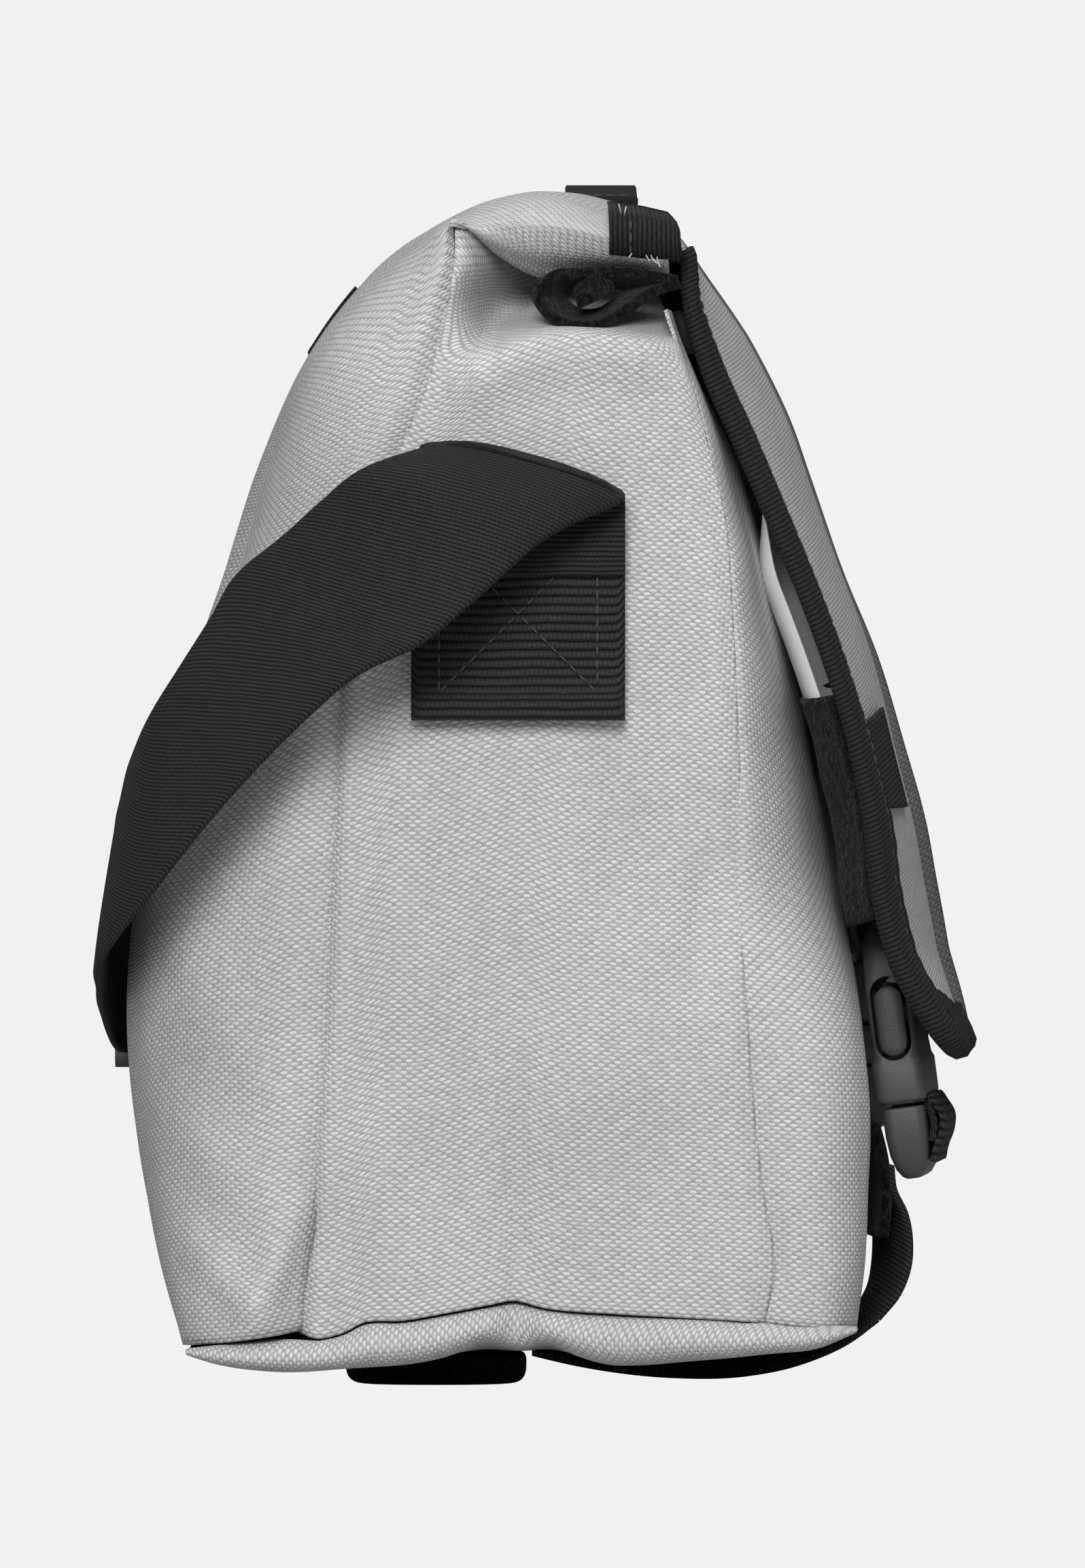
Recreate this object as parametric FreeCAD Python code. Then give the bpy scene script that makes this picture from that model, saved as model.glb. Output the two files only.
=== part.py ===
"""Messenger bag for mail, as an assembly of sewn panels, webbing straps, bindings and side-release buckles.

Frame: millimetres, +Z up. X runs along the bag's length, the front with the flap faces -Y, and the back +Y.
The origin is under the middle of the bag's outline, on the plane that the base pads rest on. The pieces are
drawn about the middle of the sewn body and then moved to the origin.
The skins of the bag are curves in the YZ plane that swell from an end shape at the end seams to a middle shape
at x = 0. Each curve runs anticlockwise seen with +Y to the right, so the inside of the bag is on its left.
"""
import FreeCAD
import Part

import os

V = FreeCAD.Vector

# ---- driving dimensions -------------------------------------------------------------------------------------
HALF_LENGTH = 200.0          # centre to end seam
PANEL_HALF = 199.5           # outer panels stop just inside the end seam
CLOTH = 2.0                  # coated outer fabric with its seam allowance
FOAM = 5.0
GAP = 0.5                    # air between neighbouring layers
END_FACE = 3.0               # outer face of the end panel, beyond the end seam
STATIONS = 7                 # sections in a loft along the length
CURVE_SAMPLES = 22           # points on each section curve

PAD_LIFT = 2.5               # the base pads lift the sewn body by this much
PLACE_Y = 6.0                # puts the origin midway between the flap's lower edge and the strap adjuster

FLAP_HALF = 196.0
FLAP_EDGE = 11.0             # visible width of the binding
FLAP_CENTRE_HALF = 95.0
FLAP_CLOTH = 1.6

WEB = 25.0                   # width of the closure webbing
WEB_T = 1.6
STRAP_X = 150.0              # centre to each closure strap
STRAP_WEB = 50.0             # width of the shoulder webbing
STRAP_T = 2.0

# Skins as pairs of (Y, Z): (at the end seam, at the middle)
BACK = [((75, 10.5), (77, 7.5)), ((80.5, 28), (85, 26)), ((85, 50), (90, 48)), ((88, 89), (93, 88)),
        ((86, 115), (91.5, 118)), ((81, 140), (87, 143)), ((73.2, 163), (80, 167)),
        ((64.6, 189), (71.5, 193)), ((56.4, 216), (63, 222)), ((45, 241), (52, 248)),
        ((33, 257), (41, 266)), ((20, 269.5), (27, 279.5)), ((9, 276), (13, 287.5)), ((-3, 280), (-2, 291)),
        ((-14, 280.6), (-14, 292)), ((-25, 277), (-26, 290)), ((-37, 271), (-38, 285))]
FLAP = [((-40.5, 270), (-41.5, 284)), ((-43.8, 254), (-52, 268)), ((-47.5, 240), (-63, 250)),
        ((-53, 226), (-71, 234)), ((-61, 207), (-80, 207)), ((-71, 183), (-89, 181)),
        ((-82, 152), (-97.5, 152)), ((-89, 124), (-104, 124)), ((-95, 100), (-109, 98)),
        ((-103, 85), (-112, 84)), ((-108.5, 77), (-113.5, 77))]
FRONT = [((-36, 256), (-44, 256)), ((-39.5, 240), (-50, 240)), ((-45.5, 226), (-56, 226)),
         ((-53.5, 207), (-63, 207)), ((-63, 183), (-71, 183)), ((-71.5, 160), (-76, 160)),
         ((-78, 125), (-81.5, 125)), ((-81.5, 98), (-83.5, 98)), ((-86.2, 64), (-87.5, 64)),
         ((-86, 46), (-88, 46)), ((-85, 24), (-86.5, 22)), ((-83.6, 13), (-84.5, 10))]
BASE = [((-77, 13), (-79, 9)), ((-45, 9.5), (-45, 5)), ((0, 9.5), (0, 5)), ((40, 9.5), (40, 5)),
        ((68, 11), (71, 7.5))]
LINING = [((-32, 250), (-40, 250)), ((-35, 236), (-45, 238)), ((-40.5, 222), (-51, 223)),
          ((-49, 203), (-59, 204)), ((-58.5, 180), (-66.5, 181)), ((-67, 158), (-71.5, 158)),
          ((-73.5, 125), (-77, 125)), ((-77, 98), (-79, 98)), ((-81.5, 64), (-83, 64)),
          ((-80, 38), (-82, 36)), ((-73, 23), (-74, 20)), ((-45, 18), (-45, 14)), ((0, 18), (0, 14)),
          ((40, 18), (42, 14)), ((63, 21), (66, 18)), ((72, 34), (76, 32)), ((75, 57), (80, 57)),
          ((77, 88), (82.5, 88)), ((75.5, 113), (81, 116)), ((70, 137), (76, 141)), ((62, 160), (69, 164)),
          ((54, 186), (61, 190)), ((45.5, 212), (52, 217)), ((34.5, 237), (42, 242))]
LINING_T = 0.8
LINING_SAMPLES = 36

# ---- closure buckle, in its own frame: u along the bag, v out of the front, w up the bag --------------------
BUCKLE_AT = (-STRAP_X, -95.6, 77.0)   # middle of the closed buckle on the left side
BUCKLE_LEAN = 7.4                     # degrees, lower end out
BUCKLE_YAW = -8.0                     # degrees about Z, which turns its face towards its own end of the bag
SOCKET_W, SOCKET_T, CAP_T = 36.0, 12.4, 10.0
SOCKET_TOP, SOCKET_MOUTH = 30.0, -12.3
SOCKET_WALL = 2.4
WINDOW = (-2.3, 18.6)                 # side window, along w
WINDOW_T = 9.2
PLUG_TOP, PLUG_END = -13.0, -30.2
PLUG_T = 10.0
ARM_AT, ARM_ROOT_W, ARM_ROOT_R = 10.5, -10.6, 1.5
ARM_T = 6.2
ARM_TIP = 17.2
RUNNING = 0.1                         # clearance round a turning root

# ---- shoulder strap: (upper edge, lower edge) of the webbing at stations from the left anchor to the middle
# of the back. The webbing leaves the anchor upwards, rolls over with its lower edge standing off the end panel,
# and falls round the back corner of the bag.
ANCHOR_X = 206.0                      # outer face of the end panel under the anchor
ANCHOR_T = 4.2                        # two layers of webbing and the sewing
THREAD_R = 0.35
ANCHOR_Y = (-28.5, 21.5)
ANCHOR_Z = (156.0, 206.0)
STRAP_STATIONS = [((-219, 18, 219.5), (-219, -28, 207)), ((-223, 33, 214), (-229, -10, 198)),
                  ((-219, 42, 207), (-236, 6, 184)), ((-215, 51, 199), (-239, 18, 174)),
                  ((-211, 62, 190), (-238, 34, 166)), ((-210, 68, 180), (-234, 50, 152)),
                  ((-209, 75, 169), (-227, 67, 134)), ((-203.5, 82, 158), (-219, 82.5, 115)),
                  ((-187, 87, 148), (-205, 93.5, 101)), ((-158, 90.5, 140), (-175, 96, 91)),
                  ((-120, 94, 133), (-130, 97, 83.5)), ((-85, 96, 127), (-88, 97.2, 77)),
                  ((-50, 97, 123.5), (-50, 97, 73.5))]
ADJUSTER = (60.0, 30.0)               # height across the webbing and length along it

HANDLE_Y, HANDLE_W, HANDLE_T = -24.0, 18.0, 2.4
HANDLE_Z = 294.0             # underside of its middle
HANDLE_HALF, HANDLE_TACK = 55.0, 24.0


# ---- shapes -------------------------------------------------------------------------------------------------
def fullness(x, pairs):
    """How far a skin has swollen at station x: 0 at the end seams and 1 in the middle. The flap is flatter."""
    power = 4 if pairs is FLAP else 2
    return 1.0 - (abs(x) / HALF_LENGTH) ** power


def curve_at(pairs, x):
    """The skin curve through its key points at station x."""
    f = fullness(x, pairs)
    points = [V(x, end[0] + f * (mid[0] - end[0]), end[1] + f * (mid[1] - end[1])) for end, mid in pairs]
    curve = Part.BSplineCurve()
    curve.interpolate(points)
    return curve


def samples(pairs, x, depth, span=(0.0, 1.0), count=CURVE_SAMPLES):
    """Points along a share of the skin curve at station x, moved inwards by depth."""
    curve = curve_at(pairs, x)
    first, last = curve.FirstParameter, curve.LastParameter
    points = []
    for n in range(count):
        u = first + (last - first) * (span[0] + (span[1] - span[0]) * n / (count - 1))
        tangent = curve.tangent(u)[0]
        inward = V(0, -tangent.z, tangent.y).normalize()
        points.append(curve.value(u) + inward * depth)
    return points


def spline_edge(points):
    curve = Part.BSplineCurve()
    curve.interpolate(points)
    return curve.toShape()


def strip_wire(outer, inner):
    """A closed outline between two rows of points."""
    return Part.Wire([spline_edge(outer), Part.makeLine(outer[-1], inner[-1]),
                      spline_edge(inner[::-1]), Part.makeLine(inner[0], outer[0])])


def stations(x0, x1, count=STATIONS):
    return [x0 + (x1 - x0) * n / (count - 1) for n in range(count)]


def sheet(pairs, x0, x1, depth0, depth1, span=(0.0, 1.0), count=STATIONS):
    """A sheet that follows a skin between two depths, from station x0 to x1."""
    wires = [strip_wire(samples(pairs, x, depth0, span), samples(pairs, x, depth1, span))
             for x in stations(x0, x1, count)]
    return Part.makeLoft(wires, True, False)


def mirrored(shape):
    """The same piece at the other end of the bag."""
    return shape.mirror(V(0, 0, 0), V(1, 0, 0))


def box(x0, x1, y0, y1, z0, z1):
    return Part.makeBox(x1 - x0, y1 - y0, z1 - z0, V(x0, y0, z0))


def prism_yz(points, x0, x1):
    """A prism along X over a polygon of (Y, Z) points."""
    ring = [V(x0, y, z) for y, z in points]
    return Part.Face(Part.makePolygon(ring + ring[:1])).extrude(V(x1 - x0, 0, 0))


def ribbon(path, width, thickness, x_mid):
    """Webbing across X that follows a path of (Y, Z) points, as one solid of even thickness."""
    curve = Part.BSplineCurve()
    curve.interpolate([V(x_mid - width / 2, y, z) for y, z in path])
    rows = []
    for side in (-1, 1):
        row = []
        for n in range(CURVE_SAMPLES):
            u = curve.FirstParameter + (curve.LastParameter - curve.FirstParameter) * n / (CURVE_SAMPLES - 1)
            t = curve.tangent(u)[0]
            row.append(curve.value(u) + V(0, -t.z, t.y).normalize() * side * thickness / 2)
        rows.append(row)
    return Part.Face(strip_wire(*rows)).extrude(V(width, 0, 0))


# ---- sewn body ----------------------------------------------------------------------------------------------
def back_panel():
    return sheet(BACK, -PANEL_HALF, PANEL_HALF, 0, CLOTH)


def back_foam():
    return sheet(BACK, -182, 182, CLOTH + GAP, CLOTH + GAP + FOAM, (0.12, 0.62))


def front_panel():
    return sheet(FRONT, -PANEL_HALF, PANEL_HALF, 0, CLOTH, (0.06, 1.0))


def mouth_binding():
    """Folded tape over the front edge of the mouth."""
    return sheet(FRONT, -PANEL_HALF, PANEL_HALF, -0.8, CLOTH + 0.8, (0.0, 0.055))


def bottom_panel():
    return sheet(BASE, -PANEL_HALF, PANEL_HALF, 0, CLOTH)


def base_stiffener():
    return sheet(BASE, -186, 186, CLOTH + GAP, CLOTH + GAP + 2.0, (0.06, 0.94))


def end_outline():
    """Closed outline of the bag's end, up to the fold of the gusset."""
    back = [(p.y, p.z) for p in samples(BACK, -HALF_LENGTH, 0.0, (0.0, 0.68))]
    front = [(p.y, p.z) for p in samples(FRONT, -HALF_LENGTH, 0.0, (0.05, 1.0))]
    return front + back


def left_gusset():
    """End panel: a plate outside the panels' ends. Its top folds into the bag and comes out to its seam."""
    plate = prism_yz(end_outline(), -HALF_LENGTH - END_FACE, -HALF_LENGTH - GAP)
    fold = [(-203, 236), (-203, 250), (-198, 253), (-172, 256), (-172, 260), (-196, 270), (-196, 273),
            (-169, 262), (-169, 253), (-197, 250), (-200.5, 248), (-200.5, 236)]
    ring = [V(x, -24, z) for x, z in fold]
    bellows = Part.Face(Part.makePolygon(ring + ring[:1])).extrude(V(0, 30, 0))
    return plate.fuse(bellows).removeSplitter()


def lining():
    """Thin waterproof bucket that hangs inside the panels, open at the top."""
    def outline(x, depth, above):
        """Section of the bucket. Above closes it that much higher, so that the cut leaves the top open."""
        moved = samples(LINING, x, depth, count=LINING_SAMPLES)
        top = [moved[-1] + V(0, 0, above), moved[0] + V(0, 0, above)]
        edges = [spline_edge(moved)]
        if above:
            edges += [Part.makeLine(moved[-1], top[0]), Part.makeLine(top[0], top[1]),
                      Part.makeLine(top[1], moved[0])]
        else:
            edges += [Part.makeLine(moved[-1], moved[0])]
        return Part.Wire(edges)

    outer = Part.makeLoft([outline(x, 0.0, 0.0) for x in stations(-197.5, 197.5)], True, False)
    inner = Part.makeLoft([outline(x, LINING_T, 20.0) for x in stations(-196.7, 196.7)], True, False)
    return outer.cut(inner)


def divider_sleeve():
    """Upright sleeve against the back, for papers, a little clear of the lining."""
    return prism_yz([(52, 24), (54, 24), (54, 120), (50, 190), (48, 190), (52, 120)], -170, 170)


def hook_tapes():
    tape = sheet(FRONT, -184, -134, -1.4, -0.3, (0.36, 0.54), 3)
    return Part.makeCompound([tape, mirrored(tape)])


def left_anchor():
    """Doubled end of the shoulder webbing, sewn flat to the end panel."""
    y0, y1 = ANCHOR_Y
    z0, z1 = ANCHOR_Z
    patch = box(-ANCHOR_X - ANCHOR_T, -ANCHOR_X, y0, y1, z0, z1)
    spacer = box(-ANCHOR_X, -HALF_LENGTH - END_FACE - 0.2, y0 + 2, y1 - 2, z0 + 2, z1 - 2)
    return patch.fuse(spacer).removeSplitter()


def anchor_stitching():
    """Box and cross of thread, just proud of the patch."""
    y0, y1 = ANCHOR_Y[0] + 6.5, ANCHOR_Y[1] - 6.5
    z0, z1 = ANCHOR_Z[0] + 6.5, ANCHOR_Z[1] - 5.0
    x = -ANCHOR_X - ANCHOR_T - 0.15
    corners = [(y0, z0), (y1, z0), (y1, z1), (y0, z1)]
    lines = list(zip(corners, corners[1:] + corners[:1])) + [(corners[0], corners[2])]
    centre = ((y0 + y1) / 2, (z0 + z1) / 2)
    lines += [(corners[1], centre), (centre, corners[3])]
    inset = 0.8
    bars = []
    for a, b in lines:
        run = V(0, b[0] - a[0], b[1] - a[1])
        step = V(run).normalize() * inset
        start = V(x, a[0], a[1]) + step
        bars.append(Part.makeCylinder(THREAD_R, run.Length - 2 * inset, start - V(0.25, 0, 0), run))
    left = bars[0]
    for bar in bars[1:]:
        left = left.fuse(bar)
    return Part.makeCompound(left.Solids + mirrored(left).Solids)


# ---- closure straps -----------------------------------------------------------------------------------------
BASE_RUN = [(-6.8, 5.0), (-16, 2.8), (-26, 0.8), (-40, -0.6), (-58, -0.2), (-71, 2.6), (-82, 7.4),
            (-89.5, 13.0)]
FRONT_RUN = [(-90.6, 14.0), (-94.6, 19.0), (-97.0, 25.5), (-97.4, 32), (-96.6, 38.5), (-97.0, 44.0)]


def left_base_strap():
    return ribbon(BASE_RUN, WEB, WEB_T, -STRAP_X)


def left_front_strap():
    return ribbon(FRONT_RUN, WEB, WEB_T, -STRAP_X)


def base_pads():
    """Folded tape that anchors each closure strap under the base, and carries the bag."""
    pad = box(-STRAP_X - 20, -STRAP_X + 20, -5.4, 38.0, 0.0, 5.6 + PAD_LIFT)
    pad = pad.makeFillet(5.0, [e for e in pad.Edges if abs(e.tangentAt(e.FirstParameter).z) > 0.99])
    return Part.makeCompound([pad, mirrored(pad)])


# ---- flap ---------------------------------------------------------------------------------------------------
PANEL_SPAN = (0.0, 0.955)


def flap_panel(x0, x1):
    return sheet(FLAP, x0, x1, 0, FLAP_CLOTH, PANEL_SPAN)


def flap_lining():
    inner = FLAP_HALF - FLAP_EDGE - 0.3
    return sheet(FLAP, -inner, inner, FLAP_CLOTH + 0.4, FLAP_CLOTH + 1.4, PANEL_SPAN)


def flap_binding():
    """Tape folded over the free edges: both sides and the bottom, as one U-shaped band."""
    band = sheet(FLAP, -FLAP_HALF, FLAP_HALF, -0.7, FLAP_CLOTH + 2.1)
    inner = FLAP_HALF - FLAP_EDGE
    hole = sheet(FLAP, -inner, inner, -4.0, FLAP_CLOTH + 6.0, (-0.02, 0.962))
    return band.cut(hole)


def loop_tapes():
    tape = sheet(FLAP, -183, -145, FLAP_CLOTH + 1.8, FLAP_CLOTH + 3.0, (0.585, 0.765), 3)
    return Part.makeCompound([tape, mirrored(tape)])


def label_patch():
    return sheet(FLAP, -181, -121, -1.2, -0.3, (0.585, 0.70), 5)


def socket_tab():
    """Webbing from the underside of the flap round the socket's top bar and back up, in the socket's frame."""
    path = [(-3.4, 46), (-5.4, 39), (-6.2, 32), (-6.35, 28.2), (-4.4, 24.9), (0, 24.6), (4.4, 24.9),
            (6.5, 28.2), (6.3, 32), (3.4, 36.5), (-1.5, 39.5)]
    return ribbon(path, WEB, WEB_T, 0.0)


# ---- buckle -------------------------------------------------------------------------------------------------
def place_buckle(shape):
    """From the buckle's own frame (u, v, w) to the left side of the bag."""
    turned = shape.copy()
    turned.rotate(V(0, 0, 0), V(1, 0, 0), -BUCKLE_LEAN)
    turned.rotate(V(0, 0, 0), V(0, 0, 1), BUCKLE_YAW)
    turned.translate(V(*BUCKLE_AT))
    return turned


def slab(u, v0, v1, w0, w1):
    """A box centred on u = 0; v is out of the front, which is -Y."""
    return box(-u, u, -v1, -v0, w0, w1)


def rounded(shape, radius, direction):
    """Fillets the straight edges that run along a direction."""
    lines = [e for e in shape.Edges if e.Curve.TypeId == "Part::GeomLine"]
    edges = [e for e in lines if abs(e.tangentAt(e.FirstParameter).dot(direction)) > 0.99]
    return shape.makeFillet(radius, edges)


def socket():
    half_w, half_t, cap_t = SOCKET_W / 2, SOCKET_T / 2, CAP_T / 2
    profile = [(-half_t, SOCKET_MOUTH), (half_t, SOCKET_MOUTH), (half_t, 17), (cap_t, 23), (cap_t, 27.5),
               (cap_t - 2.5, SOCKET_TOP), (2.5 - cap_t, SOCKET_TOP), (-cap_t, 27.5), (-cap_t, 23),
               (-half_t, 17)]
    body = prism_yz(profile, -half_w, half_w)
    outline = rounded(slab(half_w, -half_t - 1, half_t + 1, SOCKET_MOUTH - 9, SOCKET_TOP), 7.0, V(0, 1, 0))
    body = body.common(outline)
    cavity = slab(half_w - SOCKET_WALL, -half_t + SOCKET_WALL, half_t - SOCKET_WALL, SOCKET_MOUTH - 1,
                  ARM_TIP + 2.0)
    window = slab(half_w + 1, -WINDOW_T / 2, WINDOW_T / 2, *WINDOW)
    window = rounded(window, 3.4, V(1, 0, 0))
    web_slot = slab(WEB / 2 + 0.4, -half_t - 1, half_t + 1, SOCKET_TOP - 7.2, SOCKET_TOP - 3.0)
    return body.cut(cavity).cut(window).cut(web_slot)


def plug():
    """Plug body with its two webbing slots and the centre guide that enters the socket."""
    half_t = PLUG_T / 2
    outline = [(-16.6, PLUG_TOP), (16.6, PLUG_TOP), (16.6, -20.0), (14.6, -28.0), (11.6, PLUG_END),
               (-11.6, PLUG_END), (-14.6, -28.0), (-16.6, -20.0)]
    ring = [V(u, half_t, w) for u, w in outline]
    body = Part.Face(Part.makePolygon(ring + ring[:1])).extrude(V(0, -PLUG_T, 0))
    neck = slab(13.2, -3.6, 3.6, PLUG_TOP, -8.6)
    guide = slab(3.0, -2.2, 2.2, PLUG_TOP, 8.0)
    body = body.fuse(neck).fuse(guide)
    for w0, w1 in ((-28.4, -24.9), (-21.9, -18.4)):
        body = body.cut(slab(WEB / 2 + 0.5, -half_t - 1, half_t + 1, w0, w1))
    for side in (-1, 1):
        root = Part.makeCylinder(ARM_ROOT_R + RUNNING, PLUG_T, V(side * ARM_AT, half_t, ARM_ROOT_W),
                                 V(0, -1, 0))
        notch = box(side * ARM_AT - 1.9, side * ARM_AT + 1.9, -half_t, half_t, ARM_ROOT_W, -8.0)
        body = body.cut(root).cut(notch)
    return body.removeSplitter()


def arm(side):
    """One sprung arm: a round root, a thin beam, and the rounded catch that fills the socket's side window."""
    half_t = ARM_T / 2
    root = Part.makeCylinder(ARM_ROOT_R, ARM_T, V(side * ARM_AT, half_t, ARM_ROOT_W), V(0, -1, 0))
    ring = [V(side * u, half_t, w) for u, w in
            ((ARM_AT - 0.9, ARM_ROOT_W), (ARM_AT + 0.9, ARM_ROOT_W), (12.6, -4.0), (12.9, -1.2))]
    ring += [V(side * u, half_t, w) for u, w in ((17.2, -1.0), (17.9, 4.0), (17.2, 10.0), (14.6, ARM_TIP))]
    ring += [V(side * u, half_t, w) for u, w in ((12.4, ARM_TIP), (11.2, 8.0), (10.6, -2.0))]
    beam = Part.Face(Part.makePolygon(ring + ring[:1])).extrude(V(0, -ARM_T, 0))
    return root.fuse(beam).removeSplitter()


# ---- shoulder strap and handle ------------------------------------------------------------------------------
def strap_section(upper, lower, travel):
    """Rectangle across the webbing, square to its travel."""
    upper, lower = V(*upper), V(*lower)
    across = (upper - lower).normalize()
    face = travel.cross(across).normalize() * STRAP_T / 2
    middle = (upper + lower) / 2
    half = across * STRAP_WEB / 2
    corners = [middle + half + face, middle + half - face, middle - half - face, middle - half + face]
    return Part.makePolygon(corners + corners[:1])


def shoulder_strap():
    left = STRAP_STATIONS
    right = [((-u[0], u[1], u[2]), (-d[0], d[1], d[2])) for u, d in reversed(left)]
    rows = left + right
    middles = [(V(*u) + V(*d)) / 2 for u, d in rows]
    sections = []
    for n, (upper, lower) in enumerate(rows):
        before, after = middles[max(n - 1, 0)], middles[min(n + 1, len(rows) - 1)]
        sections.append(strap_section(upper, lower, (after - before).normalize()))
    return Part.makeLoft(sections, True, True)


def strap_adjuster():
    """Slide frame round the webbing on the back run, with a bar across its outer face."""
    y, z = STRAP_STATIONS[-1][0][1], (STRAP_STATIONS[-1][0][2] + STRAP_STATIONS[-1][1][2]) / 2
    half_z, half_x = ADJUSTER[0] / 2, ADJUSTER[1] / 2
    frame = box(-half_x, half_x, y - 2.7, y + 3.4, z - half_z, z + half_z)
    frame = rounded(frame, 3.0, V(0, 1, 0))
    tunnel = box(-half_x - 1, half_x + 1, y - STRAP_T / 2 - 0.3, y + STRAP_T / 2 + 0.3,
                 z - STRAP_WEB / 2 - 0.6, z + STRAP_WEB / 2 + 0.6)
    slots = [box(x0, x1, y, y + 6, z - STRAP_WEB / 2, z + STRAP_WEB / 2) for x0, x1 in ((-11, -3), (3, 11))]
    inner = box(-11, 11, y - 4, y, z - STRAP_WEB / 2, z + STRAP_WEB / 2)
    return frame.cut(tunnel).cut(slots[0]).cut(slots[1]).cut(inner)


def grab_handle():
    """Raised middle of the top webbing."""
    arc = [(-HANDLE_HALF, HANDLE_Z - 1.6), (-30, HANDLE_Z - 0.5), (0, HANDLE_Z), (30, HANDLE_Z - 0.5),
           (HANDLE_HALF, HANDLE_Z - 1.6)]
    rows = []
    for lift in (HANDLE_T, 0.0):
        rows.append([V(x, HANDLE_Y - HANDLE_W / 2, z + lift) for x, z in arc])
    return Part.Face(strip_wire(*rows)).extrude(V(0, HANDLE_W, 0))


def handle_anchors():
    """Sewn ends of the top webbing."""
    tack = box(HANDLE_HALF + 0.6, HANDLE_HALF + HANDLE_TACK, HANDLE_Y - HANDLE_W / 2, HANDLE_Y + HANDLE_W / 2,
               HANDLE_Z - 2.2, HANDLE_Z - 2.2 + HANDLE_T)
    return Part.makeCompound([tack, mirrored(tack)])


def back_band():
    """Webbing sewn flat across the top of the back."""
    return sheet(BACK, -86, 86, -2.4, -0.4, (0.70, 0.77), 5)


# ---- the assembly -------------------------------------------------------------------------------------------
def build():
    """Every piece of the bag, by node name."""
    inner = FLAP_HALF - FLAP_EDGE - 0.3
    seam = 0.25
    left_side = flap_panel(-inner, -FLAP_CENTRE_HALF - seam)
    left_arms = {"outer": place_buckle(arm(-1)), "inner": place_buckle(arm(1))}
    left = {"gusset": left_gusset(), "strap_anchor": left_anchor(), "base_strap": left_base_strap(),
            "front_strap": left_front_strap(), "socket_tab": place_buckle(socket_tab()),
            "socket": place_buckle(socket()), "plug": place_buckle(plug()),
            "plug_outer_arm": left_arms["outer"], "plug_inner_arm": left_arms["inner"]}
    pieces = {"back_panel": back_panel(), "back_foam": back_foam(), "front_panel": front_panel(),
              "mouth_binding": mouth_binding(), "bottom_panel": bottom_panel(),
              "base_stiffener": base_stiffener(), "lining": lining(), "divider_sleeve": divider_sleeve(),
              "front_hook_tapes": hook_tapes(), "strap_anchor_stitching": anchor_stitching(),
              "base_strap_pads": base_pads(), "flap_left_panel": left_side,
              "flap_right_panel": mirrored(left_side),
              "flap_centre_panel": flap_panel(-FLAP_CENTRE_HALF, FLAP_CENTRE_HALF),
              "flap_lining": flap_lining(), "flap_binding": flap_binding(), "flap_loop_tapes": loop_tapes(),
              "label_patch": label_patch(), "shoulder_strap": shoulder_strap(),
              "strap_adjuster": strap_adjuster(), "grab_handle": grab_handle(),
              "handle_anchors": handle_anchors(), "back_web_band": back_band()}
    for name, shape in left.items():
        pieces["left_" + name] = shape
        pieces["right_" + name] = mirrored(shape)
    for name in pieces:
        lift = 0 if name == "base_strap_pads" else PAD_LIFT
        pieces[name].translate(V(0, PLACE_Y, lift))
    return pieces


def main():
    os.makedirs("parts", exist_ok=True)
    for name, shape in build().items():
        shape.exportStep(os.path.join("parts", name + ".step"))


main()
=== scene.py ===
"""Looks of the messenger bag: cloth skins, bindings, webbing, buckles and materials, over the CAD frame.

Lengths are millimetres in the bag's drawing frame until put() turns them into metres in the CAD frame.
X runs along the bag, -Y is the front with the flap, +Z is up. Shapes are made for the left end and
mirrored to the right.
"""

import math

import bpy
import numpy as np
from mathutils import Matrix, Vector, noise


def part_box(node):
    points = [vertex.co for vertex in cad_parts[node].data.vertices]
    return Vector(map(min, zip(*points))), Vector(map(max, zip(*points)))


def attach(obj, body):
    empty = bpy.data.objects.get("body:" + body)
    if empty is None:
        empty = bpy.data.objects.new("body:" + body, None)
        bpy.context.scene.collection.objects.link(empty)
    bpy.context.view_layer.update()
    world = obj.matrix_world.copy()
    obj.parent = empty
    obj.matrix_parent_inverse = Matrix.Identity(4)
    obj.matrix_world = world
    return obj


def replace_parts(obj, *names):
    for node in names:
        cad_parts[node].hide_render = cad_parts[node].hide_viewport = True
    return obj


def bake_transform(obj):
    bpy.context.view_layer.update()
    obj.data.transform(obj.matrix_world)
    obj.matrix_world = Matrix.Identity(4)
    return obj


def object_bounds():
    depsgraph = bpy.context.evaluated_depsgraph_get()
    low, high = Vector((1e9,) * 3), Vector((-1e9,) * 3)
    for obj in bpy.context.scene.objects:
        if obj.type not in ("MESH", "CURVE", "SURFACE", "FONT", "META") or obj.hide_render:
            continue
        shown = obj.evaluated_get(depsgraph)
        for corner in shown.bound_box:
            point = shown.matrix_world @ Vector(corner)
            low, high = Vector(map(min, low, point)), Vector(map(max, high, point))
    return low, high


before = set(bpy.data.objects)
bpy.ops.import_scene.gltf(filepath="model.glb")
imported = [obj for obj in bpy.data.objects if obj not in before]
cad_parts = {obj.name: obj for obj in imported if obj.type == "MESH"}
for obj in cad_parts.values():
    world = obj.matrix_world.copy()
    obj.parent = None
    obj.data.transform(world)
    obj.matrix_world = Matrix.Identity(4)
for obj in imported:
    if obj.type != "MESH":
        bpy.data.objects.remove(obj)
CAD_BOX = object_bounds()

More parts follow.
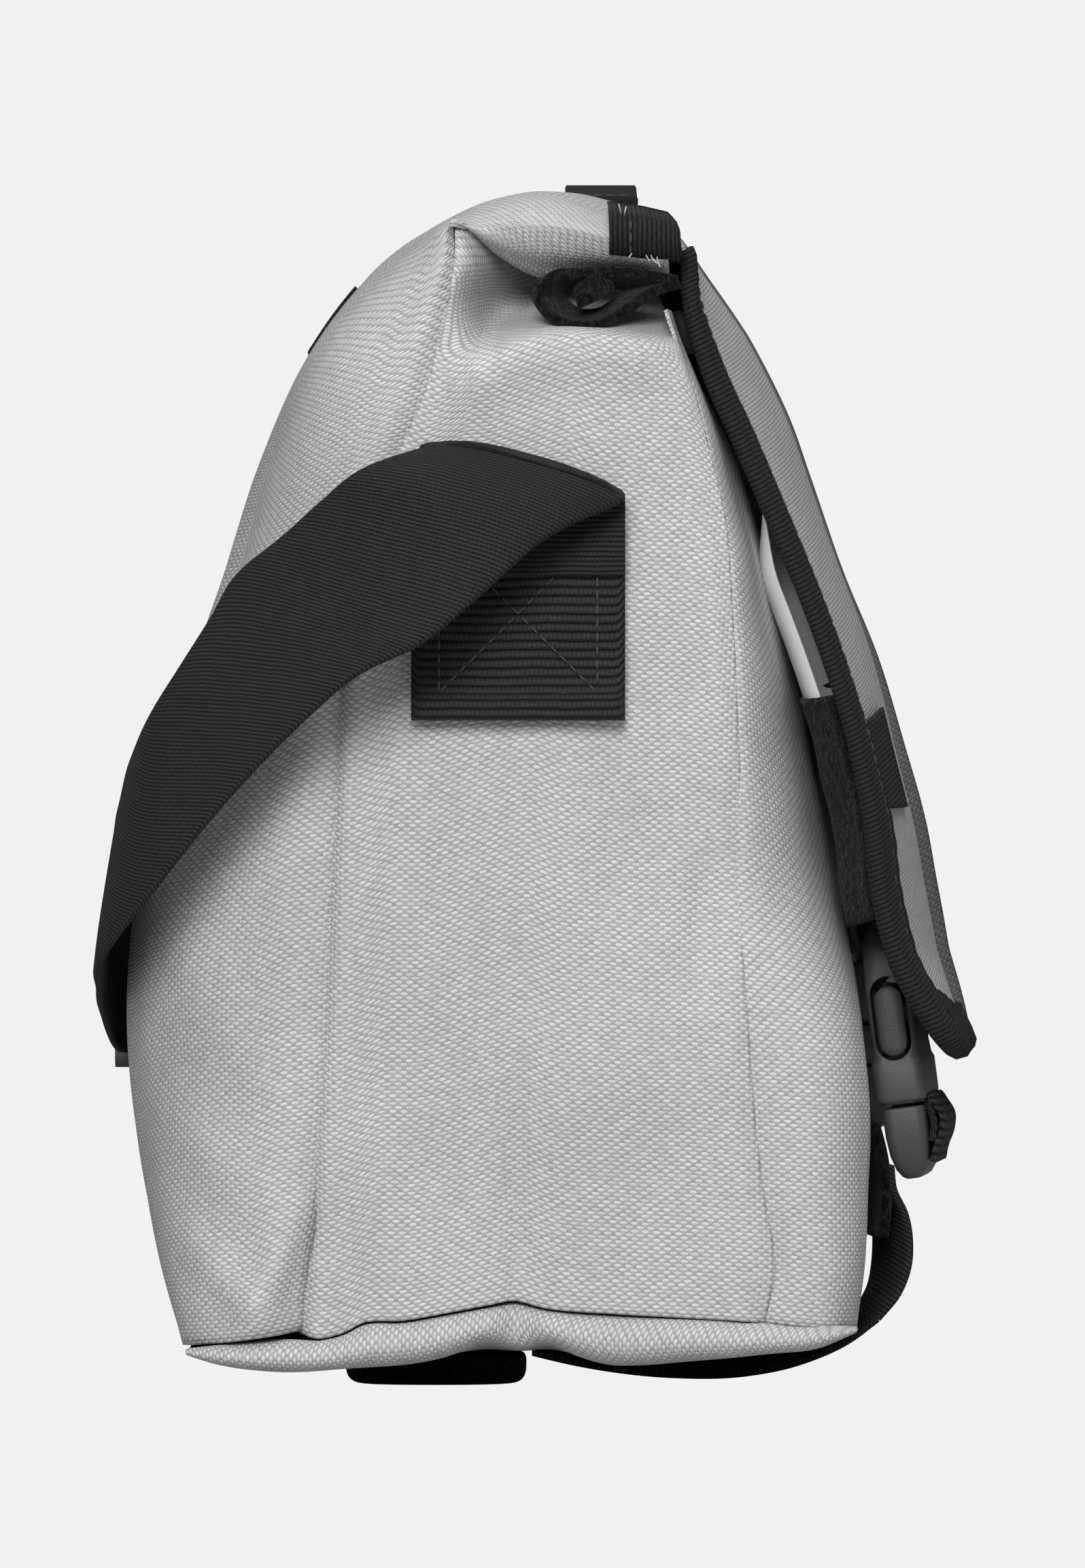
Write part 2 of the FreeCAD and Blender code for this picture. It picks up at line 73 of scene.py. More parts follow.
# ---- where the drawing sits in the frame --------------------------------------------------------
MM = 0.001
ANCHOR_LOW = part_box("left_strap_anchor")[0] / MM
DRAWN_ANCHOR = (-28.5, 156.0)         # lower corner of the strap patch as drawn, Y and Z
SHIFT = np.array([0.0, ANCHOR_LOW.y - DRAWN_ANCHOR[0], ANCHOR_LOW.z - DRAWN_ANCHOR[1]])
FLAP_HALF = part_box("flap_binding")[1].x / MM
CENTRE_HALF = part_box("flap_centre_panel")[1].x / MM
STRAP_X = (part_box("right_base_strap")[0].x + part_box("right_base_strap")[1].x) / 2 / MM

HALF = 200.0                          # centre to end seam
CORNER_X = 189.0                      # where a panel starts to turn round the bag's corner
CLOTH = 0.9
TAPE = 14.0                           # width of the flap's binding
INSIDE = (0.0, 0.0, 130.0)            # a point inside the bag

# Skins, as (Y, Z) at the end of the bag, then at its middle, from the bottom of the back over the top
BACK = [
    (75.6, 8.8, 77, 7.5), (80.5, 28, 85, 26), (85, 50, 90, 48), (88.2, 89, 93, 88), (87, 110, 91.9, 113),
    (81, 140, 87, 143), (73.2, 163, 80, 167), (64.6, 189, 71.5, 193), (56.4, 216, 61.5, 221),
    (45, 241, 50, 246.5), (33, 257, 38, 264), (20, 269.5, 24.5, 277.5), (12.5, 274.4, 15.5, 282.5),
    (1, 279, 1, 288.5), (-9, 280.4, -8, 291), (-16, 279.2, -16, 292), (-25, 276, -25, 291),
    (-33, 274.2, -33, 288), (-39, 272.6, -38.5, 285)]
# The seam where the back panel meets the end panel: (Y, Z, X) beside each row of BACK
BACK_SEAM = [
    (48.6, 12.7, -203), (47.6, 30, -203.5), (46, 50, -203.5), (43.4, 88, -203.5), (42.3, 112, -203.5),
    (41, 138, -203.5), (39.8, 162, -203.5), (36, 186, -204), (28, 211, -205), (18, 234, -206.5),
    (14.6, 248, -207), (11.5, 263, -206), (11.3, 272.4, -203.5), (2, 266.6, -198), (-8, 262.6, -191),
    (-16, 261.8, -190), (-24.5, 261.8, -190), (-33, 261.4, -192), (-39, 261, -194)]
APEX = 12                             # the row of BACK where the roll over the top begins

# The front, as (Y, Z) at the end, at the middle, and at the crease on the end face, from the bottom up
FRONT = [
    (-83.6, 12.7, -84.5, 9.7, -61.3, 15), (-85, 24, -86.5, 22, -63.7, 25.5), (-86, 46, -88, 46, -61, 46),
    (-86.6, 64, -87.9, 64, -59, 64), (-84.5, 84, -86.2, 84, -57.4, 86), (-82, 104, -84, 104, -56.5, 100),
    (-79.3, 125, -82, 125, -55.7, 122), (-74.8, 146, -78.5, 146, -55.7, 142),
    (-72, 163, -76, 163, -55, 158), (-67.3, 183, -71.5, 183, -54, 180), (-61, 206, -65.5, 206, -52, 204),
    (-54.5, 222, -59.5, 222, -48, 221), (-46, 240, -53, 240, -43, 239.5), (-41, 253, -47, 253, -38.6, 252.5)]

# The flap, as (Y, Z) along its edge and at its middle, from under the fold to the hem
FLAP = [
    (-30, 275, -30, 289.3), (-37, 273, -38, 285.6), (-42.5, 267.4, -43.6, 279), (-43.9, 254, -52, 267),
    (-48.1, 237.4, -62.5, 250.1), (-54.8, 222.3, -70.9, 233.3), (-62.1, 205.7, -76.1, 218.6),
    (-71.2, 184.4, -82.4, 199.8), (-79.8, 160.2, -91.9, 173.5), (-84.1, 144.9, -98.2, 148.3),
    (-87.1, 129.8, -103, 129.8), (-88.2, 117.5, -105.3, 117.5), (-90.1, 108.4, -107, 108.4),
    (-94.4, 96.2, -109, 96.2), (-100.5, 86.5, -111, 86.5), (-108.4, 76.4, -112.6, 77.4)]

# The end seam of the base and the lower edge of its lip, as (Y, Z)
BASE_SEAM = [
    (75, 8.6), (49, 11), (44, 10.8), (37.4, 12.1), (32.8, 14.5), (23.7, 15.1), (13.5, 16.9), (3.3, 18.9),
    (-2.2, 19.9), (-9.4, 18.3), (-25.5, 17), (-51, 15.6), (-83.4, 14)]
BASE_LIP = [
    (75, 7.2), (66.9, 4.8), (54, 3.2), (37.4, 4), (13.5, 6.7), (3.3, 10.2), (-4.8, 8.9), (-9.9, 10.2),
    (-16.9, 7.2), (-25.5, 4.9), (-31.5, 4.8), (-45.4, 5.9), (-62.3, 7.5), (-73.4, 8.6), (-83.4, 12.7)]

# Upper and lower edge of the shoulder webbing, (X, Y, Z) each, from its sewn patch to the middle of the back
STRAP_ROOT = [
    (-210.6, 21.5, 190, -210.6, -28.5, 190), (-210.8, 21.5, 205, -210.8, -28.5, 201),
    (-212, 20.5, 214.5, -211.5, -28.5, 206), (-215.5, 19.5, 219.3, -214.5, -28.3, 208.3),
    (-219, 18, 219.5, -219, -28, 207)]
STRAP = [
    (-219, 18, 219.5, -219, -28, 207), (-223, 33, 214, -229, -10, 198), (-219, 42, 207, -236, 6, 184),
    (-215, 51, 199, -239, 18, 174), (-211, 62, 190, -238, 34, 166), (-210, 68, 180, -234, 50, 152),
    (-209, 75, 169, -227, 67, 134), (-203.5, 82, 158, -219, 82.5, 115), (-187, 87, 148, -205, 93.5, 101),
    (-158, 90.5, 140, -175, 96, 91), (-120, 94, 133, -130, 97, 83.5), (-85, 96, 127, -88, 97.2, 77),
    (-50, 97, 123.5, -50, 97, 73.5), (0, 97, 123.5, 0, 97, 73.5)]

# Outer and inner edge of the closure webbing seen from the end, as (Y, Z)
BASE_STRAP = [(-6.8, 5.2), (-16, 3), (-26, 1.2), (-40, -0.2), (-58, 0.2), (-71, 3), (-82, 7.8), (-89.4, 13.2)]
BASE_TURN = [(-6.8, 5.6), (-16, 4.6), (-26, 4.2), (-40, 4.2), (-58, 4.4), (-71, 6), (-80, 9.4), (-85.8, 14.6)]
FRONT_STRAP = [(-89.4, 13.2), (-94.2, 19), (-96.8, 25.5), (-97.2, 32), (-96, 38.5), (-93.4, 44), (-92.6, 50)]
FRONT_TURN = [(-85.8, 14.6), (-88.4, 20), (-89.4, 26), (-89.6, 32), (-89.2, 38.5), (-88.6, 44), (-89.8, 50)]
TAIL_OUTER = [(-88.6, 60), (-90.4, 53), (-91.4, 46), (-91.4, 39), (-90.6, 32.6)]
TAIL_INNER = [(-85.4, 60), (-86.6, 53), (-87.2, 46), (-87.4, 39), (-87.4, 32.6)]
BUCKLE_AT = np.array([-STRAP_X, -95.6, 77.0])
BUCKLE_LEAN, BUCKLE_YAW = math.radians(-7.4), math.radians(-8.0)


# ---- curves and meshes --------------------------------------------------------------------------
def put(points):
    """From the drawing frame to metres in the CAD frame."""
    return (np.asarray(points, float) + SHIFT) * MM


def drawn_box(node):
    """A CAD node's lowest and highest corner in the drawing frame."""
    return [np.array(corner / MM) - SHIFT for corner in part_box(node)]


def spread(x, y, z):
    """Points whose X, Y and Z are numbers, rows or columns."""
    return np.stack(np.broadcast_arrays(x, y, z), axis=-1).astype(float)


def runs(points):
    """Distance along a row of points."""
    return np.concatenate([[0], np.cumsum(np.linalg.norm(np.diff(points, axis=0), axis=1))])


def through(keys, count):
    """Rows at even spacing along a smooth curve through the key rows."""
    keys = np.array(keys, float)
    at = runs(keys)
    slope = np.gradient(keys, at, axis=0)
    want = np.linspace(0, at[-1], count)
    k = np.clip(np.searchsorted(at, want, side="right") - 1, 0, len(at) - 2)
    span = (at[k + 1] - at[k])[:, None]
    t = (want - at[k])[:, None] / span
    return ((2 * t**3 - 3 * t**2 + 1) * keys[k] + (t**3 - 2 * t**2 + t) * span * slope[k]
            + (3 * t**2 - 2 * t**3) * keys[k + 1] + (t**3 - t**2) * span * slope[k + 1])


def height_over(line, y):
    """Z of a line of (Y, Z) keys at each Y."""
    fine = through(line, 200)
    fine = fine[np.argsort(fine[:, 0])]
    return np.interp(y, fine[:, 0], fine[:, 1])


def ease(t):
    """0 below 0, 1 above 1, and a smooth step between."""
    t = np.clip(t, 0, 1)
    return t * t * (3 - 2 * t)


def hump(distance, width):
    """1 at no distance, falling smoothly to nothing past the width."""
    return np.exp(-(distance / width) ** 2)


def unit(vectors):
    return vectors / np.maximum(np.linalg.norm(vectors, axis=-1, keepdims=True), 1e-9)


def crumple(points, size, seed):
    """Soft unevenness of cloth at each point, about -1 to 1, over lengths of about size."""
    flat = np.asarray(points, float).reshape(-1, 3) / size + seed
    return np.array([noise.noise(Vector(p)) for p in flat]).reshape(np.asarray(points).shape[:-1])


def dent(points, direction, size, depth, seed):
    """Moves points along a direction by soft noise."""
    return points + np.array(direction) * (crumple(points, size, seed) * depth)[..., None]


def as_drawn(points):
    return np.array(points, float)


def mirrored(points):
    """The same points at the other end of the bag. Rows of six hold two points each."""
    flipped = np.array(points, float)
    flipped[..., 0] *= -1
    if flipped.shape[-1] == 6:
        flipped[..., 3] *= -1
    return flipped


ENDS = (("left", as_drawn), ("right", mirrored))


def make_object(name, mesh, materials, body):
    """Links a mesh as a piece that rides on a body. With no body it is left unparented."""
    piece = bpy.data.objects.new(name, mesh)
    bpy.context.scene.collection.objects.link(piece)
    mesh.shade_smooth()
    for material in materials:
        mesh.materials.append(material)
    if body:
        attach(piece, body)
    return piece


def add_cloth_map(mesh, uv):
    """The map that the cloth materials read, in millimetres across and along the cloth."""
    mesh.uv_layers.new(name="Cloth").data.foreach_set("uv", np.asarray(uv, np.float32).ravel())


def sheet_mesh(name, points, inside):
    """A quad sheet through rows of points, facing away from the inside point."""
    rows, cols = points.shape[:2]
    across = np.stack([runs(row) for row in points])
    across -= across[:, cols // 2][:, None]
    along = np.stack([runs(points[:, c]) for c in range(cols)], axis=1)
    index = np.arange(rows * cols).reshape(rows, cols)
    corners = [index[:-1, :-1], index[:-1, 1:], index[1:, 1:], index[1:, :-1]]
    quads = np.stack(corners, axis=-1).reshape(-1, 4)
    flat = points.reshape(-1, 3)
    normals = np.cross(flat[quads[:, 2]] - flat[quads[:, 0]], flat[quads[:, 3]] - flat[quads[:, 1]])
    if np.sum(normals * (flat[quads].mean(axis=1) - inside)) < 0:
        quads = quads[:, ::-1]
    mesh = bpy.data.meshes.new(name)
    mesh.from_pydata(put(flat).tolist(), [], quads.tolist())
    add_cloth_map(mesh, np.stack([across.ravel(), along.ravel()], axis=1)[quads.ravel()])
    return mesh


def sheet(name, points, material, thickness=CLOTH, body="root", inside=INSIDE):
    """A piece of cloth through rows of points, with its thickness inwards."""
    materials = material if isinstance(material, list) else [material]
    mesh = sheet_mesh(name, np.asarray(points, float), np.array(inside))
    piece = make_object(name, mesh, materials, body)
    thick = piece.modifiers.new("thickness", "SOLIDIFY")
    thick.thickness = thickness * MM
    thick.offset = -1.0
    return piece


def loft_mesh(name, rings):
    """A closed skin through rings of points with its ends closed."""
    rings = np.asarray(rings, float)
    count, around = rings.shape[:2]
    closed = np.concatenate([rings, rings[:, :1]], axis=1)
    ring_run = np.stack([runs(ring) for ring in closed])
    along = np.stack([runs(rings[:, n]) for n in range(around)], axis=1)
    faces, uvs = [], []
    for i in range(count - 1):
        for n in range(around):
            after = (n + 1) % around
            quad = ((i, n), (i, after), (i + 1, after), (i + 1, n))
            faces.append([row * around + col for row, col in quad])
            uvs += [(ring_run[i, n], along[i, n]), (ring_run[i, n + 1], along[i, after]),
                    (ring_run[i + 1, n + 1], along[i + 1, after]), (ring_run[i + 1, n], along[i + 1, n])]
    for start, order in ((0, range(around - 1, -1, -1)), ((count - 1) * around, range(around))):
        faces.append([start + n for n in order])
        uvs += [(ring_run[0, n], 0.0) for n in order]
    mesh = bpy.data.meshes.new(name)
    mesh.from_pydata(put(rings.reshape(-1, 3)).tolist(), [], faces)
    add_cloth_map(mesh, uvs)
    if sum(f.normal.dot(f.center) * f.area for f in mesh.polygons) < 0:
        mesh.flip_normals()
    return mesh


def loft(name, rings, material, body="root"):
    return make_object(name, loft_mesh(name, rings), [material], body)


def web_profile(half, thickness, columns):
    """Section of webbing about its middle: flat faces and round selvedges."""
    r = thickness / 2
    flat = np.linspace(-0.96 * half, 0.96 * half, columns)
    side = [(half, 0.6 * r), (half, 0.0), (half, -0.6 * r)]
    return [(a, r) for a in flat] + side + [(a, -r) for a in flat[::-1]] + [(-a, -h) for a, h in side]


def webbing(name, edges, thickness, material, count, body="root", bow=None):
    """Webbing between an upper and a lower edge given as key rows of six numbers. Bow gives how far its
    middle stands off the straight line between them, at each share of the length."""
    rows = through(edges, count)
    upper, lower = rows[:, :3], rows[:, 3:]
    middle = (upper + lower) / 2
    across = unit(upper - lower)
    normals = unit(np.cross(np.gradient(middle, axis=0), across))
    half = np.linalg.norm(upper - lower, axis=1) / 2
    base = np.array(web_profile(1.0, thickness, 12))
    share = base[:, 0] / np.abs(base[:, 0]).max()
    arch = np.array([bow(s) if bow else 0.0 for s in np.linspace(0, 1, count)])
    lift = base[:, 1] + arch[:, None] * (1 - np.abs(share) ** 3)
    rings = (middle[:, None] + (half[:, None] * share)[..., None] * across[:, None]
             + lift[..., None] * normals[:, None])
    return loft(name, rings, material, body)


def stitches(name, path, body="root"):
    """A row of black thread beads along a path, one for each stitch."""
    pitch, length, radius = 3.2, 2.3, 0.24
    path = np.asarray(path, float)
    at = runs(path)
    vertices, faces = [], []
    for start in np.arange(0.4, at[-1] - length, pitch):
        ends = [np.array([np.interp(s, at, path[:, k]) for k in range(3)]) for s in (start, start + length)]
        run = ends[1] - ends[0]
        side = unit(np.cross(run, AWRY))
        other = unit(np.cross(run, side))
        first = len(vertices)
        for share, size in ((0.0, 0.35), (0.25, 1.0), (0.75, 1.0), (1.0, 0.35)):
            for angle in np.arange(6) * math.pi / 3:
                out = side * math.cos(angle) + other * math.sin(angle)
                vertices.append(ends[0] + run * share + out * radius * size)
        for ring in range(3):
            for n in range(6):
                a, b = first + ring * 6 + n, first + ring * 6 + (n + 1) % 6
                faces.append((a, b, b + 6, a + 6))
        faces.append([first + n for n in range(5, -1, -1)])
        faces.append([first + 18 + n for n in range(6)])
    mesh = bpy.data.meshes.new(name)
    mesh.from_pydata(put(vertices).tolist(), [], faces)
    return make_object(name, mesh, [black_thread], body)


AWRY = (0.31, 0.52, 0.79)             # a direction that no thread runs along


def thread_rings(path, radius):
    """Rings of a round thread along a few key points."""
    points = through(path, 14)
    tangent = unit(np.gradient(points, axis=0))
    side = unit(np.cross(tangent, AWRY))
    other = np.cross(tangent, side)
    angles = np.linspace(0, 2 * math.pi, 7)[:-1]
    out = np.cos(angles)[None, :, None] * side[:, None] + np.sin(angles)[None, :, None] * other[:, None]
    return points[:, None] + radius * out


class Skin:
    """A skin that swells from its end curve to its middle curve. Places on it are (x, run, lift)."""

    def __init__(self, keys, half, power, outward):
        self.keys = [key[:4] for key in keys]
        self.rows = through(self.keys, 300)
        self.runs = runs(self.rows[:, :2])
        self.length = self.runs[-1]
        self.half, self.power, self.outward = half, power, outward

    def surface(self, x, run):
        end_y, end_z, mid_y, mid_z = [np.interp(run, self.runs, self.rows[:, n]) for n in range(4)]
        full = 1 - np.minimum(np.abs(x) / self.half, 1.0) ** self.power(end_z)
        return spread(x, end_y + full * (mid_y - end_y), end_z + full * (mid_z - end_z))

    def at(self, x, run, lift=0.0):
        x, run, lift = [np.array(v, float) for v in np.broadcast_arrays(x, run, lift)]
        step = 0.5
        dx = self.surface(x + step, run) - self.surface(x - step, run)
        dr = self.surface(x, np.minimum(run + step, self.length)) - self.surface(x, np.maximum(run - step, 0))
        return self.surface(x, run) + unit(np.cross(dr, dx)) * (lift * self.outward)[..., None]

    def grid(self, xs, along, lift=0.0):
        x, run = np.meshgrid(xs, along)
        return self.at(x, run, lift)

    def run_at_z(self, z):
        """Where along the skin its end curve passes height z."""
        order = np.argsort(self.rows[:, 1])
        return float(np.interp(z, self.rows[order, 1], self.runs[order]))


back_skin = Skin(BACK, HALF, lambda z: np.interp(z, (262, 274), (2.0, 1.35)), 1.0)
front_skin = Skin(FRONT, HALF, lambda z: 2.0, -1.0)
flap_skin = Skin(FLAP, FLAP_HALF, lambda z: np.interp(z, (76, 100, 240, 272), (6, 3.2, 3.2, 1.35)), 1.0)


# ---- materials ----------------------------------------------------------------------------------
def term_method(operation, swapped=False):
    """A method of Term for one math operation."""
    def method(self, *others):
        values = (self, *others)
        return self.net.math(operation, *(values[::-1] if swapped else values))
    return method


class Term:
    """A value in a node tree that can be used in formulas."""

    def __init__(self, net, socket):
        self.net, self.socket = net, socket

    __add__ = term_method("ADD")
    __radd__ = term_method("ADD", True)
    __sub__ = term_method("SUBTRACT")
    __rsub__ = term_method("SUBTRACT", True)
    __mul__ = term_method("MULTIPLY")
    __rmul__ = term_method("MULTIPLY", True)
    __truediv__ = term_method("DIVIDE")
    sin = term_method("SINE")
    abs = term_method("ABSOLUTE")
    floor = term_method("FLOOR")
    power = term_method("POWER")
    max = term_method("MAXIMUM")

    def step(self, low, high):
        """0 below low, 1 above high, smooth between."""
        node = self.net.node("ShaderNodeMapRange", interpolation_type="SMOOTHSTEP")
        self.net.set(node.inputs["Value"], self)
        node.inputs["From Min"].default_value = low
        node.inputs["From Max"].default_value = high
        return Term(self.net, node.outputs["Result"])


class Net:
    """Writes a material's node tree as formulas."""

    def __init__(self, name):
        self.material = bpy.data.materials.new(name)
        self.material.use_nodes = True
        self.tree = self.material.node_tree
        self.tree.nodes.clear()
        self.shader = self.node("ShaderNodeBsdfPrincipled")
        output = self.node("ShaderNodeOutputMaterial")
        self.tree.links.new(self.shader.outputs[0], output.inputs["Surface"])

    def node(self, kind, **settings):
        node = self.tree.nodes.new(kind)
        for key, value in settings.items():
            setattr(node, key, value)
        return node

    def set(self, socket, value):
        if isinstance(value, Term):
            self.tree.links.new(value.socket, socket)
        else:
            socket.default_value = value

    def math(self, operation, *values):
        node = self.node("ShaderNodeMath", operation=operation)
        for socket, value in zip(node.inputs, values):
            self.set(socket, value)
        return Term(self, node.outputs[0])

    def cloth(self):
        """Millimetres across and along the cloth."""
        uv = self.node("ShaderNodeUVMap", uv_map="Cloth")
        split = self.node("ShaderNodeSeparateXYZ")
        self.tree.links.new(uv.outputs[0], split.inputs[0])
        return Term(self, split.outputs[0]), Term(self, split.outputs[1])

    def noise(self, scale, detail=2.0):
        """Noise over the piece's own place, in cycles per metre."""
        place = self.node("ShaderNodeTexCoord")
        node = self.node("ShaderNodeTexNoise")
        node.inputs["Scale"].default_value = scale
        node.inputs["Detail"].default_value = detail
        self.tree.links.new(place.outputs["Object"], node.inputs["Vector"])
        return Term(self, node.outputs["Fac"])

    def random(self, *values):
        """A steady random number for each set of whole numbers."""
        join = self.node("ShaderNodeCombineXYZ")
        for socket, value in zip(join.inputs, values):
            self.set(socket, value)
        node = self.node("ShaderNodeTexWhiteNoise", noise_dimensions="3D")
        self.tree.links.new(join.outputs[0], node.inputs["Vector"])
        return Term(self, node.outputs["Value"])

    def mix(self, share, low, high):
        """A colour between two, by share. Each colour is a mix or three linear numbers."""
        node = self.node("ShaderNodeMix", data_type="RGBA")
        self.set(node.inputs[0], share)
        for socket, value in ((node.inputs[6], low), (node.inputs[7], high)):
            self.set(socket, value if isinstance(value, Term) else (*value, 1.0))
        return Term(self, node.outputs[2])

    def finish(self, colour, height, relief, roughness, sheen=0.0, specular=0.3):
        """Relief is the depth of the height's full step, in millimetres."""
        bump = self.node("ShaderNodeBump")
        bump.inputs["Distance"].default_value = relief * MM
        self.set(bump.inputs["Height"], height)
        self.tree.links.new(bump.outputs[0], self.shader.inputs["Normal"])
        self.set(self.shader.inputs["Base Color"], colour)
        self.set(self.shader.inputs["Roughness"], roughness)
        self.shader.inputs["Specular IOR Level"].default_value = specular
        self.shader.inputs["Sheen Weight"].default_value = sheen
        self.shader.inputs["Sheen Roughness"].default_value = 0.5
        return self.material


def grey(level, tint=(1.0, 1.0, 1.0)):
    """Linear colour of an sRGB grey from 0 to 255."""
    share = level / 255
    linear = ((share + 0.055) / 1.055) ** 2.4 if share > 0.04045 else share / 12.92
    return tuple(linear * t for t in tint)


def woven(name, gap, weft, warp, tint):
    """Coated oxford cloth: a plain weave of thick flat yarns."""
    net = Net(name)
    u, v = net.cloth()
    column, row = u / 1.3, v / 0.92
    across, up = (column * math.pi).sin(), (row * math.pi).sin()
    over = across * up
    warp_height = across.abs().power(0.3) * 0.6 - over * 0.3
    weft_height = up.abs().power(0.3) * 0.6 + over * 0.3
    height = warp_height.max(weft_height)
    yarns = net.mix((weft_height - warp_height).step(-0.28, 0.0), grey(warp, tint), grey(weft, tint))
    shade = net.random(column.floor(), row.floor(), 0.0) * 0.16 + net.noise(28.0) * 0.2
    yarns = net.mix(shade, yarns, grey(gap, tint))
    # The low parts between the yarns get the dark gap colour: painted shade in the hollows of the weave.
    colour = net.mix(height.step(0.2, 0.62), grey(gap, (tint[0], tint[1] * 0.99, tint[2] * 1.04)), yarns)
    return net.finish(colour, height, 0.3, 0.62 + net.noise(900.0) * 0.16, specular=0.2)


def ribbed(name, pitch, dark, light, relief, length_pitch, sheen):
    """Black webbing or tape: ribs across it, broken by its lengthwise yarns."""
    net = Net(name)
    u, v = net.cloth()
    wander = net.noise(160.0) * 0.6
    rib = ((v + wander) * (math.pi / pitch)).sin().abs()
    yarn = (u * (math.pi / length_pitch) + (v / pitch).floor() * (math.pi / 2)).sin().abs()
    height = rib.power(0.6) * 0.8 + yarn * 0.2
    fuzz = net.noise(2600.0, 3.0)
    share = height * 0.7 + fuzz * 0.3
    # Rib crests are painted lighter and the grooves darker: painted highlight and painted shade, partly
    # broken by random fuzz tone.
    colour = net.mix(share.step(0.2, 1.0), grey(dark), grey(light, (1.03, 1.0, 0.98)))
    return net.finish(colour, height + fuzz * 0.25, relief, 0.75, sheen=sheen, specular=0.15)


def pile(name, dark, light):
    """Fuzzy looped tape."""
    net = Net(name)
    tufts = net.noise(1500.0, 4.0)
    loops = net.noise(620.0, 2.0)
    height = tufts * 0.6 + loops * 0.6
    # Tuft tips are painted lighter and the hollows darker: painted highlight and painted shade in the pile.
    colour = net.mix(height.step(0.45, 0.85), grey(dark), grey(light))
    return net.finish(colour, height, 1.1, 0.95, sheen=0.08, specular=0.05)


def moulded(name, level):
    """Dark textured plastic with a fine spark grain."""
    net = Net(name)
    grain = net.noise(2400.0, 3.0)
    cloud = net.noise(60.0)
    colour = net.mix(grain * 0.5 + cloud * 0.5, grey(level - 8), grey(level + 10))
    return net.finish(colour, grain, 0.10, 0.42 + grain * 0.16, specular=0.45)


def thread(name, level):
    net = Net(name)
    twist = net.noise(3000.0, 2.0)
    colour = net.mix(twist, grey(level * 0.6), grey(level))
    return net.finish(colour, twist, 0.12, 0.75, sheen=0.1)


def coated(name, level, tint):
    """Smooth waterproof liner with a faint print of its base cloth."""
    net = Net(name)
    u, v = net.cloth()
    print_through = (u * (math.pi / 0.6)).sin() * (v * (math.pi / 0.6)).sin()
    cloud = net.noise(40.0, 3.0)
    colour = net.mix(cloud, grey(level - 10, tint), grey(level + 6, tint))
    return net.finish(colour, print_through * 0.3 + cloud, 0.10, 0.4, specular=0.4)


LIGHT_TINT = (1.0, 1.0, 1.015)
light_cloth = woven("light_cloth", 74, 224, 178, LIGHT_TINT)
dark_cloth = woven("dark_cloth", 46, 112, 88, (1.0, 1.01, 1.02))
strap_web = ribbed("strap_web", 1.15, 5, 52, 0.5, 1.1, 0.02)
patch_web = ribbed("patch_web", 2.1, 5, 58, 1.0, 1.1, 0.02)
tape = ribbed("tape", 1.15, 8, 44, 0.45, 3.0, 0.02)
fuzzy = pile("fuzzy", 6, 40)
plastic = moulded("plastic", 68)
black_thread = thread("black_thread", 84)
white_thread = thread("white_thread", 225)
liner_cloth = coated("liner_cloth", 205, (1.0, 1.0, 1.02))
foam_stuff = pile("foam_stuff", 60, 120)
board_stuff = moulded("board_stuff", 90)


# ---- sewn body ----------------------------------------------------------------------------------
def body_columns():
    """Stations along the bag between its two corners, closer together near the seams of the centre panel."""
    return np.unique(np.concatenate([np.linspace(-CORNER_X, CORNER_X, 61), [-CENTRE_HALF, CENTRE_HALF]]))


def wrap(corner, seam, shape, count):
    """Points from a seam on the end face round to the corner. Shape lists (share of the way, X)."""
    keys = through([(share * 30, x) for share, x in shape], count)
    share = keys[:, 0] / 30
    points = np.empty((len(corner), count, 3))
    points[..., 0] = keys[:, 1]
    points[..., 1:] = seam[:, None, :2] * share[None, :, None] + corner[:, None] * (1 - share)[None, :, None]
    return points


def wrapped_panel(skin, seam, shape, count, rows, turn):
    """Rows of points over a panel: round the left corner, along the bag, round the right corner. Turn
    gives how far the corner moves in along the bag at each height."""
    ends = through(skin.keys, rows)
    edge = through(seam, rows)
    left = wrap(ends[:, :2], edge, shape, count)
    away = turn(ends[:, 1])[:, None]
    seam_share = np.clip((np.linspace(1, 0, count) - 0.55) / 0.45, 0, 1)
    left[..., 0] += (edge[:, 2] - shape[0][1])[:, None] * seam_share
    left[..., 0] += away * np.linspace(0, 1, count) ** 1.25
    under = left[:, :1] + (left[:, :1] - left[:, 2:3]) * (0, 1.0, 1.0) + (2.0, 0, 0)
    left = np.concatenate([under, left], axis=1)
    xs = body_columns()[1:-1]
    beyond = ease((np.abs(xs) - CENTRE_HALF) / (CORNER_X - CENTRE_HALF))
    x = xs - np.sign(xs) * beyond * away
    power = np.broadcast_to(skin.power(ends[:, 1]), rows)[:, None]
    full = 1 - (np.abs(x) / HALF) ** power
    y, z = [ends[:, [n]] + full * (ends[:, [n + 2]] - ends[:, [n]]) for n in (0, 1)]
    return np.concatenate([left, spread(x, y, z), mirrored(left[:, ::-1])], axis=1)


FOLDS_FROM = 150.0                    # folds are pressed in only beyond this distance from the middle


def fold_line(points, a, b, width, depth):
    """Depth at each point of a soft fold along a line between two (Y, Z) places on an end of the bag."""
    a, b = np.array(a, float), np.array(b, float)
    run = b - a
    share = np.clip(((points[..., 1:] - a) @ run) / (run @ run), 0, 1)
    away = np.linalg.norm(points[..., 1:] - a - share[..., None] * run, axis=-1)
    fade = np.sin(math.pi * (0.15 + 0.7 * share))
    return -depth * hump(away, width) * fade * (np.abs(points[..., 0]) > FOLDS_FROM)


def turned_away(z):
    """How much the front corner turns out of sight under the flap, 0 to 1, at each height."""
    return ease((np.asarray(z) - 75) / 60) * ease((275 - np.asarray(z)) / 30)


def crease_x(z):
    """X of the crease between the end panel and the front panel."""
    return -204.3 + 2.2 * turned_away(z)


